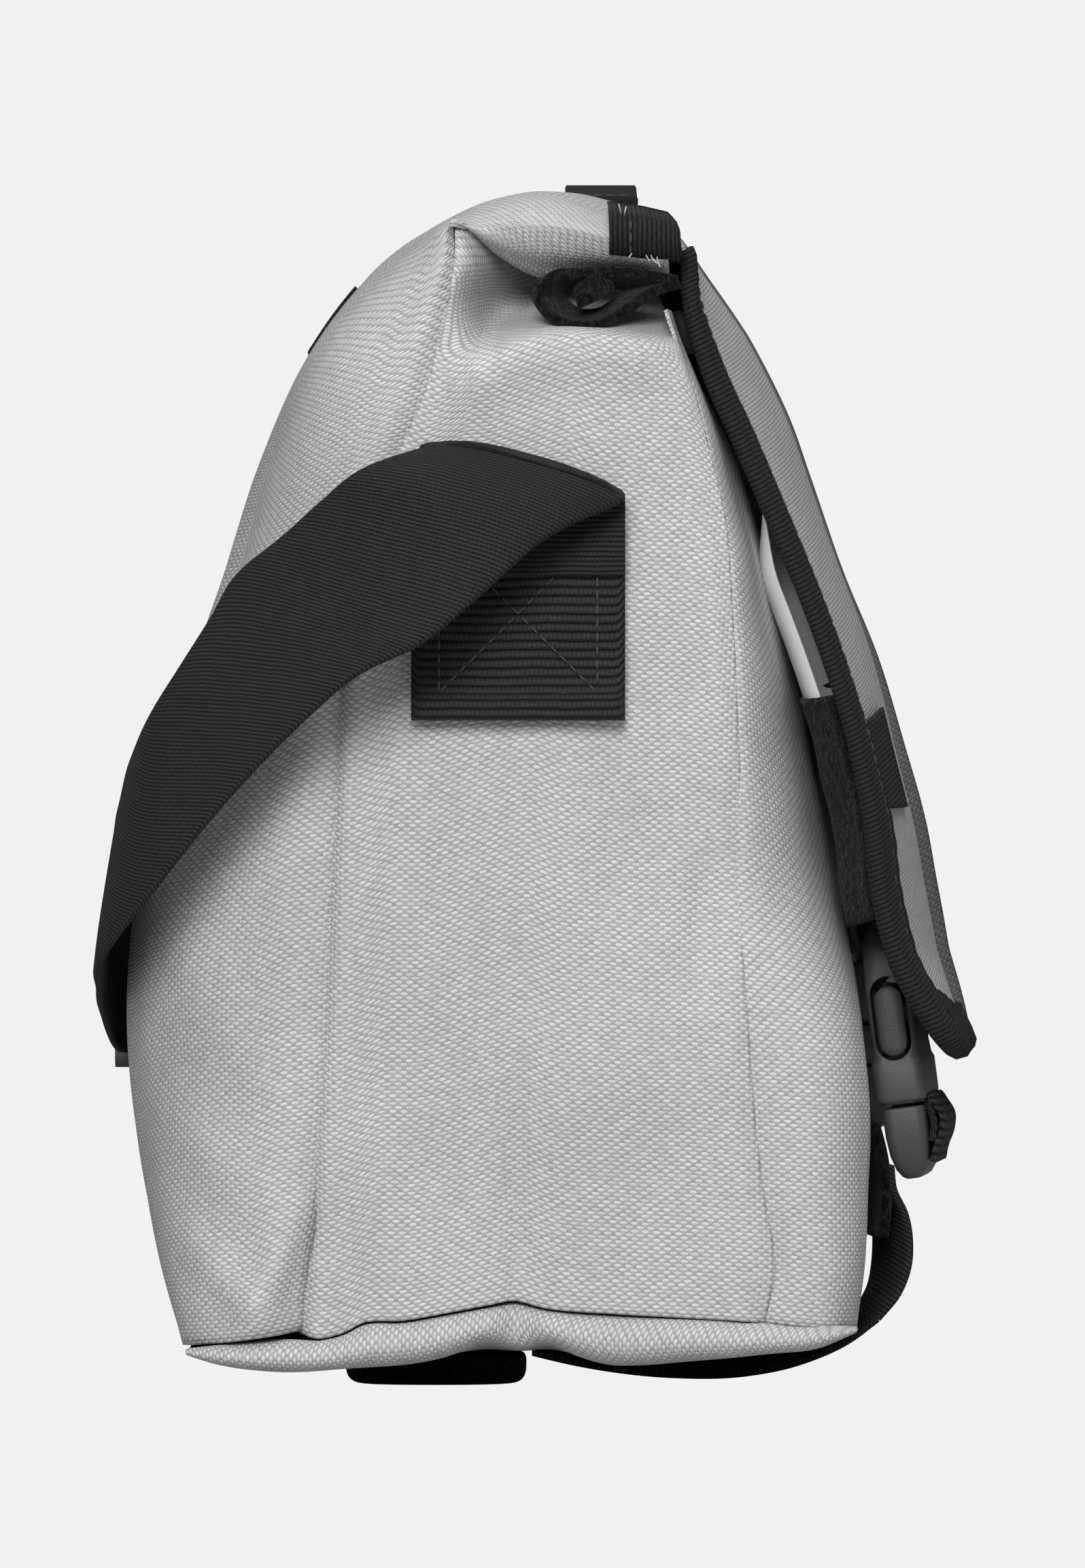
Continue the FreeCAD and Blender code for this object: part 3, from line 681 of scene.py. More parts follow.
def paint_centre(piece, half):
    """The second material goes on faces within half of the bag's middle."""
    for face in piece.data.polygons:
        face.material_index = int(abs(face.center.x) < half * MM)


# Soft folds on the back corner, as (one end, other end, width, depth), with the ends as (Y, Z)
BACK_FOLDS = [((64, 6), (47, 42), 5, 3.4), ((76, 36), (54, 14), 4, 2.6), ((82, 66), (58, 44), 7, 2.2),
              ((84, 110), (60, 74), 9, 1.8)]


def back_panel():
    shape = [(1.0, -203.5), (0.85, -206.5), (0.5, -205), (0.25, -201), (0.08, -195), (0.0, -CORNER_X)]
    points = wrapped_panel(back_skin, BACK_SEAM, shape, 22, 150,
                           lambda z: 25.0 * ease((250 - z) / 50) * ease((z - 5) / 70))
    for fold in BACK_FOLDS:
        points[..., 0] -= np.sign(points[..., 0]) * fold_line(points, *fold)
    points = dent(points, (0.25, 1.0, 0.1), 46.0, 0.9, 3.1)
    piece = sheet("back_cloth", points, [light_cloth, dark_cloth])
    paint_centre(piece, CENTRE_HALF)
    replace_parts(piece, "back_panel")


def front_panel():
    seam = [(y, z, crease_x(z)) for *_, y, z in FRONT]
    shape = [(1.0, crease_x(0)), (0.8, -206), (0.35, -203.8), (0.12, -197), (0.0, -CORNER_X)]
    points = wrapped_panel(front_skin, seam, shape, 20, 120, lambda z: 52.0 * turned_away(z))
    points = dent(points, (0.5, 1.0, 0.1), 26.0, 1.1, 9.4)
    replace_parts(sheet("front_cloth", points, light_cloth), "front_panel")


LIP_LINE = [(-38, 244), (-24, 245.4), (-11.6, 245.4), (-3.2, 243.6), (6, 239), (14.6, 240)]
RIDGE_LINE = [(14.6, 245), (14.0, 255), (10.7, 264), (11.3, 272)]
POCKET_DEPTH = 44.0
# Soft folds, as (one end, other end, width, depth)
END_FOLDS = [((-3, 18), (-3, 75), 3.5, 1.1), ((-42, 22), (-30, 60), 9, 2.0), ((14, 30), (24, 66), 8, 1.4),
             ((-46, 96), (-53, 134), 6, 2.2), ((-20, 100), (-34, 140), 11, 1.6)]


def gusset_outline():
    """Rows of (Y, Z) places that fill the left end panel, between its four edges."""
    rows, cols = 170, 84
    back_edge = through([key[:2] for key in BACK_SEAM[:APEX + 1]], rows)
    front_edge = through([key[4:6] for key in FRONT], rows)
    base_keys = [key for key in BASE_SEAM if -62 < key[0] < 49.5]
    bottom = through([(48.6, 12.2)] + base_keys[1:] + [(-61.3, 15)], cols)
    top = through([(11.3, 272.4), (3, 271.6), (-8, 270.6), (-20, 268.6), (-30, 264.6), (-36, 258.6),
                   (-37.8, 252.5)], cols)
    s, t = np.linspace(0, 1, cols)[None, :, None], np.linspace(0, 1, rows)[:, None, None]
    sides = back_edge[:, None] * (1 - s) + front_edge[:, None] * s
    ends = bottom * (1 - t) + top * t
    corners = (bottom[0] * (1 - s) + bottom[-1] * s) * (1 - t) + (top[0] * (1 - s) + top[-1] * s) * t
    return sides + ends - corners


def gusset_points():
    """The left end panel: flat and soft below, with its top folded into the bag behind a lip."""
    flat = gusset_outline()
    y, z = flat[..., 0], flat[..., 1]
    share = np.linspace(0, 1, flat.shape[1])
    keys = np.array(BACK_SEAM[:APEX + 1])
    seam_x = np.interp(z[:, 0], keys[:, 1], keys[:, 2])[:, None]
    from_back, from_front = y[:, :1] - y, y - y[:, -1:]
    x = seam_x * (1 - share) + (crease_x(z) - 0.7) * share - 2.0 * np.sin(math.pi * share) ** 0.8
    low = 1 - ease((z - 175) / 40)
    x += low * (2.9 * hump(from_back, 2.6) + 0.8 * hump(from_front, 2.8))
    x -= 1.3 * low * (hump(from_back - 4.5, 3.2) + 0.5 * hump(from_front - 5, 3.5))
    x += 0.7 * hump(y + 3, 1.6) * (1 - ease((z - 50) / 40))
    x += 1.6 * hump(y - 44, 7) * hump(z - 35, 9)
    over_lip = z - height_over(LIP_LINE, y)
    ridge = through(RIDGE_LINE, 60)
    past_ridge = ease((np.interp(z, ridge[:, 1], ridge[:, 0]) - y) / 21.0)
    x += POCKET_DEPTH * ease(over_lip / 17.0) ** 0.8 * past_ridge
    x -= 1.6 * hump(over_lip + 4, 6) * ease((30 - np.abs(y + 12)) / 12)
    points = spread(x, y, z)
    for fold in END_FOLDS:
        points[..., 0] -= fold_line(points, *fold)
    soft = crumple(points, 42.0, 5.3) * 1.7 + crumple(points, 17.0, 1.7) * 0.5
    points[..., 0] += soft * ease(from_back / 12) * ease(from_front / 12)
    return points


def end_panels():
    points = gusset_points()
    for side, place in ENDS:
        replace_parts(sheet(side + "_end_cloth", place(points), light_cloth), side + "_gusset")


# Section of the base's lip from the seam to the underside, as (share of its height, X)
LIP_SECTION = [(1.0, -201.6), (1.0, -204.5), (0.86, -207.8), (0.6, -210.0), (0.32, -209.8), (0.1, -207),
               (0.0, -202.5), (-0.04, -196)]


def base_panel():
    """The base with its soft lip at each end, pinched in the middle."""
    seam_x = LIP_SECTION[0][1]
    ys = np.linspace(74.6, -83.2, 110)
    seam_z, lip_z = height_over(BASE_SEAM, ys), height_over(BASE_LIP, ys)
    fill = np.clip(np.minimum(75 - ys, ys + 84) / 14, 0.12, 1) ** 0.5
    bulge = (1 - 0.55 * hump(ys + 3, 4.0)) * fill
    left = [spread(seam_x + (x - seam_x) * (bulge if x < -203 else 1), ys, lip_z + (seam_z - lip_z) * share)
            for share, x in LIP_SECTION]
    left = np.stack(left, axis=1)
    xs = np.linspace(-186, 186, 41)
    share = 1 - (np.abs(xs) / 196) ** 8
    middle_z = np.minimum(4.7 + np.abs(ys / 84) ** 6 * 5, lip_z + 1.0)[:, None]
    flat = spread(xs, ys[:, None], lip_z[:, None] * (1 - share) + middle_z * share)
    points = np.concatenate([left, flat, mirrored(left[:, ::-1])], axis=1)
    piece = sheet("base_cloth", dent(points, (0.6, 0.0, 0.4), 20.0, 0.7, 7.7), light_cloth, inside=(0, 0, 60))
    subdivide(piece, 1)
    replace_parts(piece, "bottom_panel")


def subdivide(piece, levels):
    smooth = piece.modifiers.new("smooth", "SUBSURF")
    smooth.levels = smooth.render_levels = levels


def mouth_tape():
    """Black tape over the front edge of the mouth, which turns into the folded ends."""
    run = np.linspace(-CORNER_X, CORNER_X, 80)
    edge = front_skin.at(run, front_skin.length - 1.0)
    up = unit(edge - front_skin.at(run, front_skin.length - 9.0))
    profile = np.array([(-10, 1.1), (-2, 1.2), (0.6, 0.9), (1.0, 0), (0.6, -2.0), (-2, -2.3), (-10, -2.2),
                        (-10, -1.4), (-10, 0.3)])[None]
    rings = edge[:, None] + profile[..., :1] * up[:, None] + profile[..., 1:] * (0.0, -1.0, 0.0)
    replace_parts(loft("mouth_tape", rings, tape), "mouth_binding")
    ring = [
        (-41, 259.5), (-30, 261.3), (-19, 261.3), (-10.5, 260), (-7.6, 255.8), (-10.5, 251),
        (-16.5, 248.4), (-24, 249.4), (-30, 253), (-36, 257), (-41.5, 258.5)]
    middle = np.array([-22.0, 256.0])
    loop = [(-202.0, *near, -193.0, *(middle + (near - middle) * 0.52)) for near in np.array(ring)]
    tab = [(-199, -24.5, 262.5, -199.5, -26, 257), (-203, -20.5, 260.5, -203.5, -22, 254.5),
           (-202.5, -16.5, 257.5, -203, -17.5, 252.5)]
    for side, place in ENDS:
        webbing(side + "_mouth_loop", place(loop), 2.4, fuzzy, 90)
        webbing(side + "_mouth_tab", place(tab), 1.2, fuzzy, 20)


# The roof patch past the bag's end, as (X, share of its fall), and the loose threads as (Y, Z, turn, fall)
ROOF_OUT = [(-200, 0.0), (-206, 0.10), (-208.4, 0.32), (-208.2, 0.66), (-205.6, 0.9), (-201, 1.0)]
LOOSE_THREADS = [(-27.5, 274.4, 0.3, -2.4), (-28.4, 274.2, -0.2, -2.0), (-30.0, 265.4, 0.4, 1.2),
                 (-33.5, 265.0, -0.5, 1.6), (-34.6, 265.0, -0.9, 2.2), (-36.0, 264.6, -0.4, 2.6)]


def roof_patch():
    """Short ribbed tape sewn round each end of the roof, with a stitch row and loose white thread ends."""
    rows = []
    for depth in np.linspace(24.8, 41.5, 16):
        top = float(np.interp(depth, (24.8, 33, 39.5, 41.5), (276.0, 274.9, 273.4, 271.0)))
        low = float(np.interp(depth, (24.8, 41.5), (265.4, 263.6)))
        rows.append([(x, -depth, top + rise) for x, rise in ((-150, 5.5), (-178, 2.6), (-192, 1.2))]
                    + [(x, -depth, top + (low - top) * fall) for x, fall in ROOF_OUT])
    points = dent(np.array(rows), (1, 0, 0), 6.0, 0.5, 8.8)
    seam = [(x, -29.8, z) for x, z in ((-208.4, 273.2), (-209.9, 270), (-209.6, 267), (-207.4, 265))]
    for side, place in ENDS:
        sheet(side + "_roof_patch", place(points), tape, 1.0)
        stitches(side + "_roof_patch_seam", place(seam))
        for n, (y, z, turn, fall) in enumerate(LOOSE_THREADS):
            path = [(-206, y, z), (-208.6, y + 0.5 * turn, z - 0.5 * fall),
                    (-208.8, y + 1.7 * turn, z - fall)]
            loft(side + f"_loose_thread_{n}", thread_rings(place(path), 0.16), white_thread)


def back_band():
    low, high = back_skin.run_at_z(243), back_skin.run_at_z(258)
    rows = back_skin.grid(np.linspace(-86, 86, 40), np.linspace(low, high, 10), 1.5)
    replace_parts(sheet("back_band", rows, tape, 1.2), "back_web_band")


LINER = 0.6                           # thickness of the lining


def inner_parts():
    """Lining, divider, foam and board, which are seen only when the bag is open or taken apart."""
    floor_z, half = 17.0, 150.0
    front_wall = through([
        (-77, floor_z), (-80, 40), (-81.5, 64), (-78, 98), (-73, 125), (-66, 158), (-58, 180),
        (-48.5, 203), (-38, 236)], 40)
    back_wall = through([
        (66, floor_z), (74, 40), (77, 64), (77, 88), (75, 113), (69, 140), (61, 165), (53, 190),
        (38, 232)], 40)
    xs = np.linspace(-half, half, 30)
    front = sheet("lining_front", spread(xs, front_wall[:, :1], front_wall[:, 1:]), liner_cloth, LINER)
    sheet("lining_back", spread(xs, back_wall[:, :1], back_wall[:, 1:]), liner_cloth, LINER)
    ys = np.linspace(front_wall[0, 0], back_wall[0, 0], 30)[:, None]
    sheet("lining_floor", spread(xs, ys, floor_z), liner_cloth, LINER)
    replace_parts(front, "lining")
    across = np.linspace(0, 1, 30)[:, None]
    walls = front_wall[:, None] * (1 - across) + back_wall[:, None] * across
    x = -half + 2.0 * (1 - ease(np.linspace(0, 1, 40) / 0.12) ** 0.5)
    x[-8:] += 14 * ease(np.linspace(0, 1, 8))
    end = spread(x[:, None], walls[..., 0], walls[..., 1])
    for side, place in ENDS:
        sheet(side + "_lining_end", place(end), liner_cloth, LINER)
    sleeve = through([(53, 24), (53, 120), (49, 190)], 24)
    rows = spread(np.linspace(-168, 168, 30), sleeve[:, :1], sleeve[:, 1:])
    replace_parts(sheet("divider_cloth", rows, liner_cloth, 1.2), "divider_sleeve")
    low, high = back_skin.run_at_z(46), back_skin.run_at_z(218)
    foam = back_skin.grid(np.linspace(-156, 156, 30), np.linspace(low, high, 30), -3.0)
    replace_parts(sheet("back_padding", foam, foam_stuff, 3.0), "back_foam")
    board = spread(np.linspace(-184, 184, 20), np.linspace(-62, 62, 12)[:, None], 13.5)
    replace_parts(sheet("base_board", board, board_stuff, 2.0), "base_stiffener")


# ---- flap ---------------------------------------------------------------------------------------
FOLD_START = (0, -30, 290)
FOLD_END = (0, -55, 262)
HEM = flap_skin.length
FOLD_RUN = 15.0                       # the fabric above this lies on the roof
CORNER_R = 11.0


def bend(piece, body, start, end, *nodes):
    """Bakes the piece's transform, and stands for the CAD nodes named. Body, start and end are not used."""
    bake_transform(piece)
    if nodes:
        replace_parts(piece, *nodes)


def bend_with_flap(piece, *nodes):
    """Bakes the piece's transform and stands for the CAD nodes named, for a piece on the flap."""
    bend(piece, "flap", FOLD_START, FOLD_END, *nodes)


BEHIND_FLAP = (0, 40, 130)            # a point behind the flap


def flap_fabric():
    """Light side panels and a darker centre panel that stands proud and rolls down at its sides."""
    outer = FLAP_HALF - 8
    for side, x0, x1 in (("left", -outer, -CENTRE_HALF), ("right", CENTRE_HALF, outer)):
        rows = flap_skin.grid(np.linspace(x0, x1, 34), np.linspace(0, HEM - 8, 110))
        rows = dent(rows, (0, 1, 0.3), 34.0, 0.35, 2.2)
        piece = sheet(f"flap_{side}_cloth", rows, light_cloth, 0.9, None, BEHIND_FLAP)
        bend_with_flap(piece, f"flap_{side}_panel")
    reach = CENTRE_HALF + 3
    xs = np.linspace(-reach, reach, 50)
    along = np.linspace(0, HEM - 6, 110)
    proud = (0.5 + 2.4 * ease((along - 110) / 45))[:, None] * ease((reach - np.abs(xs)) / 2.5)
    rows = flap_skin.grid(xs, along, proud)
    centre = sheet("flap_centre_cloth", rows, dark_cloth, 1.4, None, BEHIND_FLAP)
    bend_with_flap(centre, "flap_centre_panel")


ROLL_OFF = 9.6                        # how far the flap's inner layers stand off beside its edges


def edge_roll(x):
    """Share of the flap's inner layers that stands off towards the bag, in a soft roll beside each edge."""
    return ease((194 - np.abs(x)) / 12) * ease((np.abs(x) - 158) / 18)


def flap_liner():
    """Smooth inner face of the flap, which rolls towards the bag beside the edges, above the fuzzy tape."""
    xs = np.linspace(8 - FLAP_HALF, FLAP_HALF - 8, 60)
    x, run = np.meshgrid(xs, np.linspace(FOLD_RUN + 4, HEM - 7, 90))
    height = np.interp(run, flap_skin.runs, flap_skin.rows[:, 1])
    rolled = edge_roll(x) * ease((height - 148) / 14) * ease((214 - height) / 26)
    rows = flap_skin.at(x, run, -(1.9 + ROLL_OFF * rolled))
    piece = sheet("flap_liner", rows, liner_cloth, 0.5, None, (0, -200, 130))
    bend_with_flap(piece, "flap_lining")


def edge_path(count):
    """Places (x, run) along the free edge, down the left side, round the corners and up the right side,
    with the direction into the flap at each."""
    bend_x, bend_run = CORNER_R - FLAP_HALF, HEM - CORNER_R
    path = [(-FLAP_HALF, run, 1.0, 0.0) for run in np.linspace(FOLD_RUN + 1.0, bend_run, count)]
    for angle in np.linspace(0, math.pi / 2, 12)[1:]:
        across, up = math.cos(angle), -math.sin(angle)
        path.append((bend_x - CORNER_R * across, bend_run - CORNER_R * up, across, up))
    path += [(x, HEM, 0.0, -1.0) for x in np.linspace(bend_x, 0, count)[1:]]
    left = np.array(path)
    whole = np.concatenate([left, left[-2::-1] * (-1, 1, -1, 1)])
    return whole[:, :2], whole[:, 2:]


# Section of the binding, as (inset from the flap's edge, lift)
BINDING_SECTION = [
    (TAPE, 0.3), (TAPE - 0.6, 1.3), (6.0, 2.0), (2.5, 2.1), (0.8, 1.5), (0.0, 0.1), (0.6, -1.4),
    (2.0, -2.0), (6.0, -2.2), (TAPE - 0.6, -1.9), (TAPE, -1.2)]


def flap_binding():
    """Ribbed tape folded over the free edges, thicker at its tip, with a stitch row near its inner edge."""
    places, inward = edge_path(110)
    hem_share = ease((places[:, 1] - HEM + 40) / 40)
    low_share = ease((places[:, 1] - flap_skin.run_at_z(165)) / 40) * ease((-150 - places[:, 0]) / 30)
    wave = 0.12 * np.sin(np.arange(len(places)) * 1.9)
    rings = []
    for inset, lift in BINDING_SECTION:
        edge = places + inward * (inset * (1 + 0.45 * low_share))[:, None]
        swell = 1 + 0.25 * hem_share + 0.5 * low_share * (lift < 0)
        rings.append(flap_skin.at(edge[:, 0], edge[:, 1], lift * swell + wave * (inset > 2)))
    bend_with_flap(loft("flap_binding_tape", np.stack(rings, axis=1), tape, None), "flap_binding")
    row = places + inward * (TAPE - 2.6)
    bend_with_flap(stitches("flap_binding_seam", flap_skin.at(row[:, 0], row[:, 1], 1.7), None))


def flap_fuzzy_tape():
    """Looped tape on the inside, whose outer end curls a little off the flap."""
    low, high = flap_skin.run_at_z(162), flap_skin.run_at_z(110)
    x, run = np.meshgrid(np.linspace(-192.5, -120, 36), np.linspace(low, high, 40))
    rows = dent(flap_skin.at(x, run, -(2.9 + ROLL_OFF * edge_roll(x))), (0, 1, 0), 9.0, 0.5, 4.4)
    pieces = [sheet(side + "_loop_tape", place(rows), fuzzy, 1.4, "flap", (0, -300, 130))
              for side, place in ENDS]
    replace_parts(pieces[0], "flap_loop_tapes")


def label():
    """Small woven tab on the left of the flap, left blank, with a turned edge all round."""
    low, high = flap_skin.run_at_z(153.5), flap_skin.run_at_z(135)
    near_x, far_x = -183.0, -140.0
    x, run = np.meshgrid(np.linspace(near_x, far_x, 40), np.linspace(low, high, 22))
    edge = np.minimum(np.minimum(x - near_x, far_x - x), np.minimum(run - low, high - run))
    rows = flap_skin.at(x, run, 0.9 + 0.4 * (1 - ease((edge - 2.0) / 1.2)))
    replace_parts(sheet("blank_label", rows, tape, 0.8, "flap", BEHIND_FLAP), "label_patch")


def hook_tape():
    low, high = front_skin.run_at_z(130), front_skin.run_at_z(170)
    rows = front_skin.grid(np.linspace(-146, -112, 20), np.linspace(low, high, 24), 1.0)
    pieces = [sheet(side + "_hook_tape", place(rows), fuzzy, 0.9) for side, place in ENDS]
    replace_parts(pieces[0], "front_hook_tapes")


# ---- shoulder strap and handle ------------------------------------------------------------------
def strap_patch():
    """Doubled webbing end sewn to each end panel by a box and a cross, with a folded lower edge."""
    (face, y0, z0), (_, y1, z1) = drawn_box("left_strap_anchor")
    profile = [(z0, 1.0), (z0 + 0.6, 2.6), (z0 + 3.4, 3.0), (z0 + 5.4, 2.5), (z0 + 6.3, 1.3), (z0 + 8, 0.6),
               (z0 + 24, 0.2), (z1 - 8, 0.4), (z1, 1.0)]
    ys = np.linspace(y0, y1, 40)
    rise = ease(np.minimum(ys - y0, y1 - ys) / 1.6)
    rows = through(profile, 70)
    points = spread(face + 1.6 - (1.0 + rows[:, 1:]) * rise, ys, rows[:, :1])
    points = dent(points, (1, 0, 0), 12.0, 0.35, 6.6)
    inset = 6.5
    y0, y1, z0, z1 = y0 + inset, y1 - inset, z0 + inset, z1 - inset
    corners = [(y0, z0), (y1, z0), (y1, z1), (y0, z1)]
    lines = [(corners[a], corners[b]) for a, b in ((0, 1), (1, 2), (2, 3), (3, 0), (0, 2), (1, 3))]
    for side, place in ENDS:
        piece = sheet(side + "_strap_patch", place(points), patch_web, 3.6)
        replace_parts(piece, side + "_strap_anchor")
        if side == "left":
            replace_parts(piece, "strap_anchor_stitching")
        for n, (a, b) in enumerate(lines):
            path = spread(face - 0.15, *np.linspace(a, b, 24).T)
            stitches(side + f"_patch_seam_{n}", place(path))


ROLL_BOW = 4.0                        # how far the roll at the strap's root stands up in the middle


def roll_bow(share):
    """The bow fades a little way past the roll at each end, and the strap keeps a slight crown."""
    from_end = min(share, 1 - share)
    return -0.6 - (ROLL_BOW - 0.6) * (1 - float(ease(from_end / 0.09)))


def shoulder_strap():
    """One length of webbing from end to end behind the bag, and the turned root at each end."""
    keys = np.concatenate([np.array(STRAP), mirrored(STRAP[-2::-1])])
    piece = webbing("shoulder_webbing", keys, 2.0, strap_web, 300, "shoulder_strap", roll_bow)
    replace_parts(piece, "shoulder_strap")
    for side, place in ENDS:
        sign = -1 if side == "left" else 1
        root = webbing(side + "_strap_root", place(STRAP_ROOT), 2.0, strap_web, 40, None,
                       lambda share: sign * ROLL_BOW * share ** 2)
        bend(root, "shoulder_strap", (sign * 211.5, 0, 208), (sign * 218, 0, 208))


def top_handle():
    """Ribbed webbing over the roof, in two halves that meet in the middle, with sewn ends."""
    (_, y0, low_z), (_, y1, high_z) = drawn_box("grab_handle")
    (_, _, low_tack), (far, _, high_tack) = drawn_box("handle_anchors")
    tack_z = (low_tack + high_tack) / 2 - 5.4
    top_z = (low_z + high_z) / 2 - 1.2
    spine = [(-far, tack_z - 1.4), (-far * 0.72, tack_z + 0.6), (-far * 0.4, top_z - 0.8), (0, top_z)]
    keys = [(x, y1, z, x, y0, z) for x, z in spine]
    for side, place in ENDS:
        sign = -1 if side == "left" else 1
        half = webbing(side + "_handle_half", place(keys), 2.2, tape, 50, None)
        bend(half, "grab_handle", (sign * 62, 0, 290), (sign * 30, 0, 290), "grab_handle", "handle_anchors")
        for n, share in enumerate((0.82, 0.95)):
            seam_z = tack_z + 1.6 - 1.5 * (share - 0.72) / 0.28
            path = spread(-far * share, np.linspace(y0 + 2, y1 - 2, 8), seam_z)
            stitches(side + f"_handle_seam_{n}", place(path))


# ---- closure straps and buckles -----------------------------------------------------------------
def buckle_place(points):
    """From the left buckle's own frame (u along the bag, v out of the front, w up) to the drawing frame."""
    u, v, w = np.moveaxis(np.asarray(points, float), -1, 0)
    lean, yaw = (np.array((math.cos(angle), math.sin(angle))) for angle in (BUCKLE_LEAN, BUCKLE_YAW))
    y, z = -v * lean[0] - w * lean[1], -v * lean[1] + w * lean[0]
    return spread(u * yaw[0] - y * yaw[1], u * yaw[1] + y * yaw[0], z) + BUCKLE_AT


def slab_ring(width, depth, corner, w):
    """Ring of a rounded slab: width along u, depth along v, at height w."""
    steps = 6
    ring = []
    for quarter, (su, sv) in enumerate(((1, 1), (-1, 1), (-1, -1), (1, -1))):
        for n in range(steps):
            angle = (quarter + n / (steps - 1)) * math.pi / 2
            ring.append((su * (width / 2 - corner) + corner * math.cos(angle),
                         sv * (depth / 2 - corner) + corner * math.sin(angle), w))
    return ring


def cut(piece, tool):
    """Takes the tool's shape out of the piece for good."""
    hole = piece.modifiers.new("cut", "BOOLEAN")
    hole.object = tool
    hole.operation = "DIFFERENCE"
    hole.solver = "EXACT"
    graph = bpy.context.evaluated_depsgraph_get()
    made = bpy.data.meshes.new_from_object(piece.evaluated_get(graph), depsgraph=graph)
    piece.modifiers.remove(hole)
    piece.data = made
    bpy.data.objects.remove(tool)


def soften(piece, width):
    edge = piece.modifiers.new("soften", "BEVEL")
    edge.width = width * MM
    edge.segments = 3
    edge.limit_method = "ANGLE"
    edge.angle_limit = math.radians(35)
    edge.harden_normals = False


def plain_tool(rings):
    mesh = loft_mesh("tool", rings)
    tool = bpy.data.objects.new("tool", mesh)
    bpy.context.scene.collection.objects.link(tool)
    bpy.context.view_layer.update()
    return tool


def pill(half_depth, low, high, u):
    """Outline of a pill in (v, w) at a given u, as a ring."""
    ring = []
    for centre, first in ((high - half_depth, 0.0), (low + half_depth, math.pi)):
        for n in range(9):
            angle = first + n * math.pi / 8
            ring.append((u, half_depth * math.cos(angle), centre + half_depth * math.sin(angle)))
    return ring


# Sections of the buckle's shells, as (height, width, depth, corner radius)
SOCKET_STATIONS = [
    (-12.3, 33.6, 9.6, 2.6), (-11.4, 35.6, 11.8, 2.4), (-10.2, 36.0, 12.4, 2.4), (-2.4, 36.0, 12.4, 2.6),
    (-1.0, 35.0, 11.4, 3.0), (2.0, 34.6, 11.0, 3.2), (16.0, 34.0, 11.0, 3.2), (19.5, 33.4, 10.6, 3.4),
    (22.0, 33.2, 10.4, 3.6), (26.5, 30.5, 10.0, 3.8), (29.0, 27.0, 8.2, 3.6), (30.0, 24.0, 6.0, 2.6)]
PLUG_STATIONS = [
    (-13.1, 33.2, 9.8, 2.4), (-14.0, 33.6, 10.2, 2.4), (-20.0, 33.4, 10.0, 2.4), (-24.5, 32.0, 9.2, 2.8),
    (-28.0, 29.0, 7.4, 2.8), (-29.8, 26.0, 5.0, 2.2), (-30.4, 23.0, 3.0, 1.3)]


def slabs(stations):
    return [slab_ring(width, depth, corner, w) for w, width, depth, corner in stations]


def socket_hollows():
    """Rings of what is cut from the socket: a window in each side, the slot for the tab, and the throat."""
    for ends in ((-19.0, -8.5), (8.5, 19.0)):
        yield [pill(4.3, -1.8, 18.4, u) for u in ends]
    slot = ((-12.9, 21.5), (12.9, 21.5), (12.9, 25.5), (-12.9, 25.5))
    yield [[(u, v, w) for u, w in slot] for v in (-8, 8)]
    throat = ((-14.2, -3.4), (14.2, -3.4), (14.2, 3.4), (-14.2, 3.4))
    yield [[(u, v, w) for u, v in throat] for w in (-16, 19.5)]


def buckles():
    for side, place in ENDS:
        plug_body = side + "_plug"
        socket = loft(side + "_socket_shell", place(buckle_place(slabs(SOCKET_STATIONS))), plastic, "flap")
        for rings in socket_hollows():
            cut(socket, plain_tool(place(buckle_place(rings))))
        soften(socket, 0.7)
        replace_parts(socket, side + "_socket")
        plug = loft(side + "_plug_shell", place(buckle_place(slabs(PLUG_STATIONS))), plastic, plug_body)
        soften(plug, 0.5)
        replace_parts(plug, plug_body)
        tongue = [slab_ring(6.0, 4.4, 1.2, w) for w in (-14.5, 4.0, 7.0)]
        loft(side + "_plug_tongue", place(buckle_place(tongue)), plastic, plug_body)
        for sign, which in ((-1, "outer"), (1, "inner")):
            arm_body = f"{plug_body}_{which}_arm"
            stations = [(12.6, 2.2), (15.2, 3.1), (16.4, 3.4), (17.1, 2.6), (17.4, 1.4)]
            rings = [pill(half, 2.4 - half, 12.8 + half, sign * u) for u, half in stations]
            arm = loft(f"{side}_{which}_lever", place(buckle_place(rings)), plastic, arm_body)
            soften(arm, 0.4)
            bar = [[(sign * 11.4 + u, v, w) for u, v, _ in slab_ring(3.6, 5.2, 1.2, w)]
                   for w in (-14.0, -6.0, 2.0, 10.0, 14.5)]
            loft(f"{side}_{which}_arm_bar", place(buckle_place(bar)), plastic, arm_body)
            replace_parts(arm, arm_body)


STRAP_HALF = 12.5                     # half the width of the closure webbing
TAB_PATH = [(-3.4, 46), (-5.4, 39), (-6.2, 32), (-6.3, 28.2), (-4.4, 24.9), (0, 24), (4.4, 24.9), (6.4, 28.2),
            (6.2, 32), (3.4, 36.5), (-1.5, 39.5)]
TAIL_PATH = [(-5.4, -27), (-6.4, -24), (-8.4, -20), (-9, -16.5), (-7.8, -13.6), (-6.4, -11.4), (-5.8, -12.6),
             (-6.4, -15.5), (-6.6, -18.5), (-5.6, -22)]


def buckle_edges(path):
    """Edges of closure webbing whose side view is a path in the buckle's own frame."""
    edges = [buckle_place([(u, -y, w) for y, w in path]) for u in (STRAP_HALF, -STRAP_HALF)]
    return np.concatenate(edges, axis=1)


def closure_edges(sign, outer, inner):
    """Edges of closure webbing at one end of the bag, from its outer and inner edge seen from there."""
    x, half = sign * STRAP_X, sign * STRAP_HALF
    return [(x + half, *near, x - half, *far) for near, far in zip(outer, inner)]


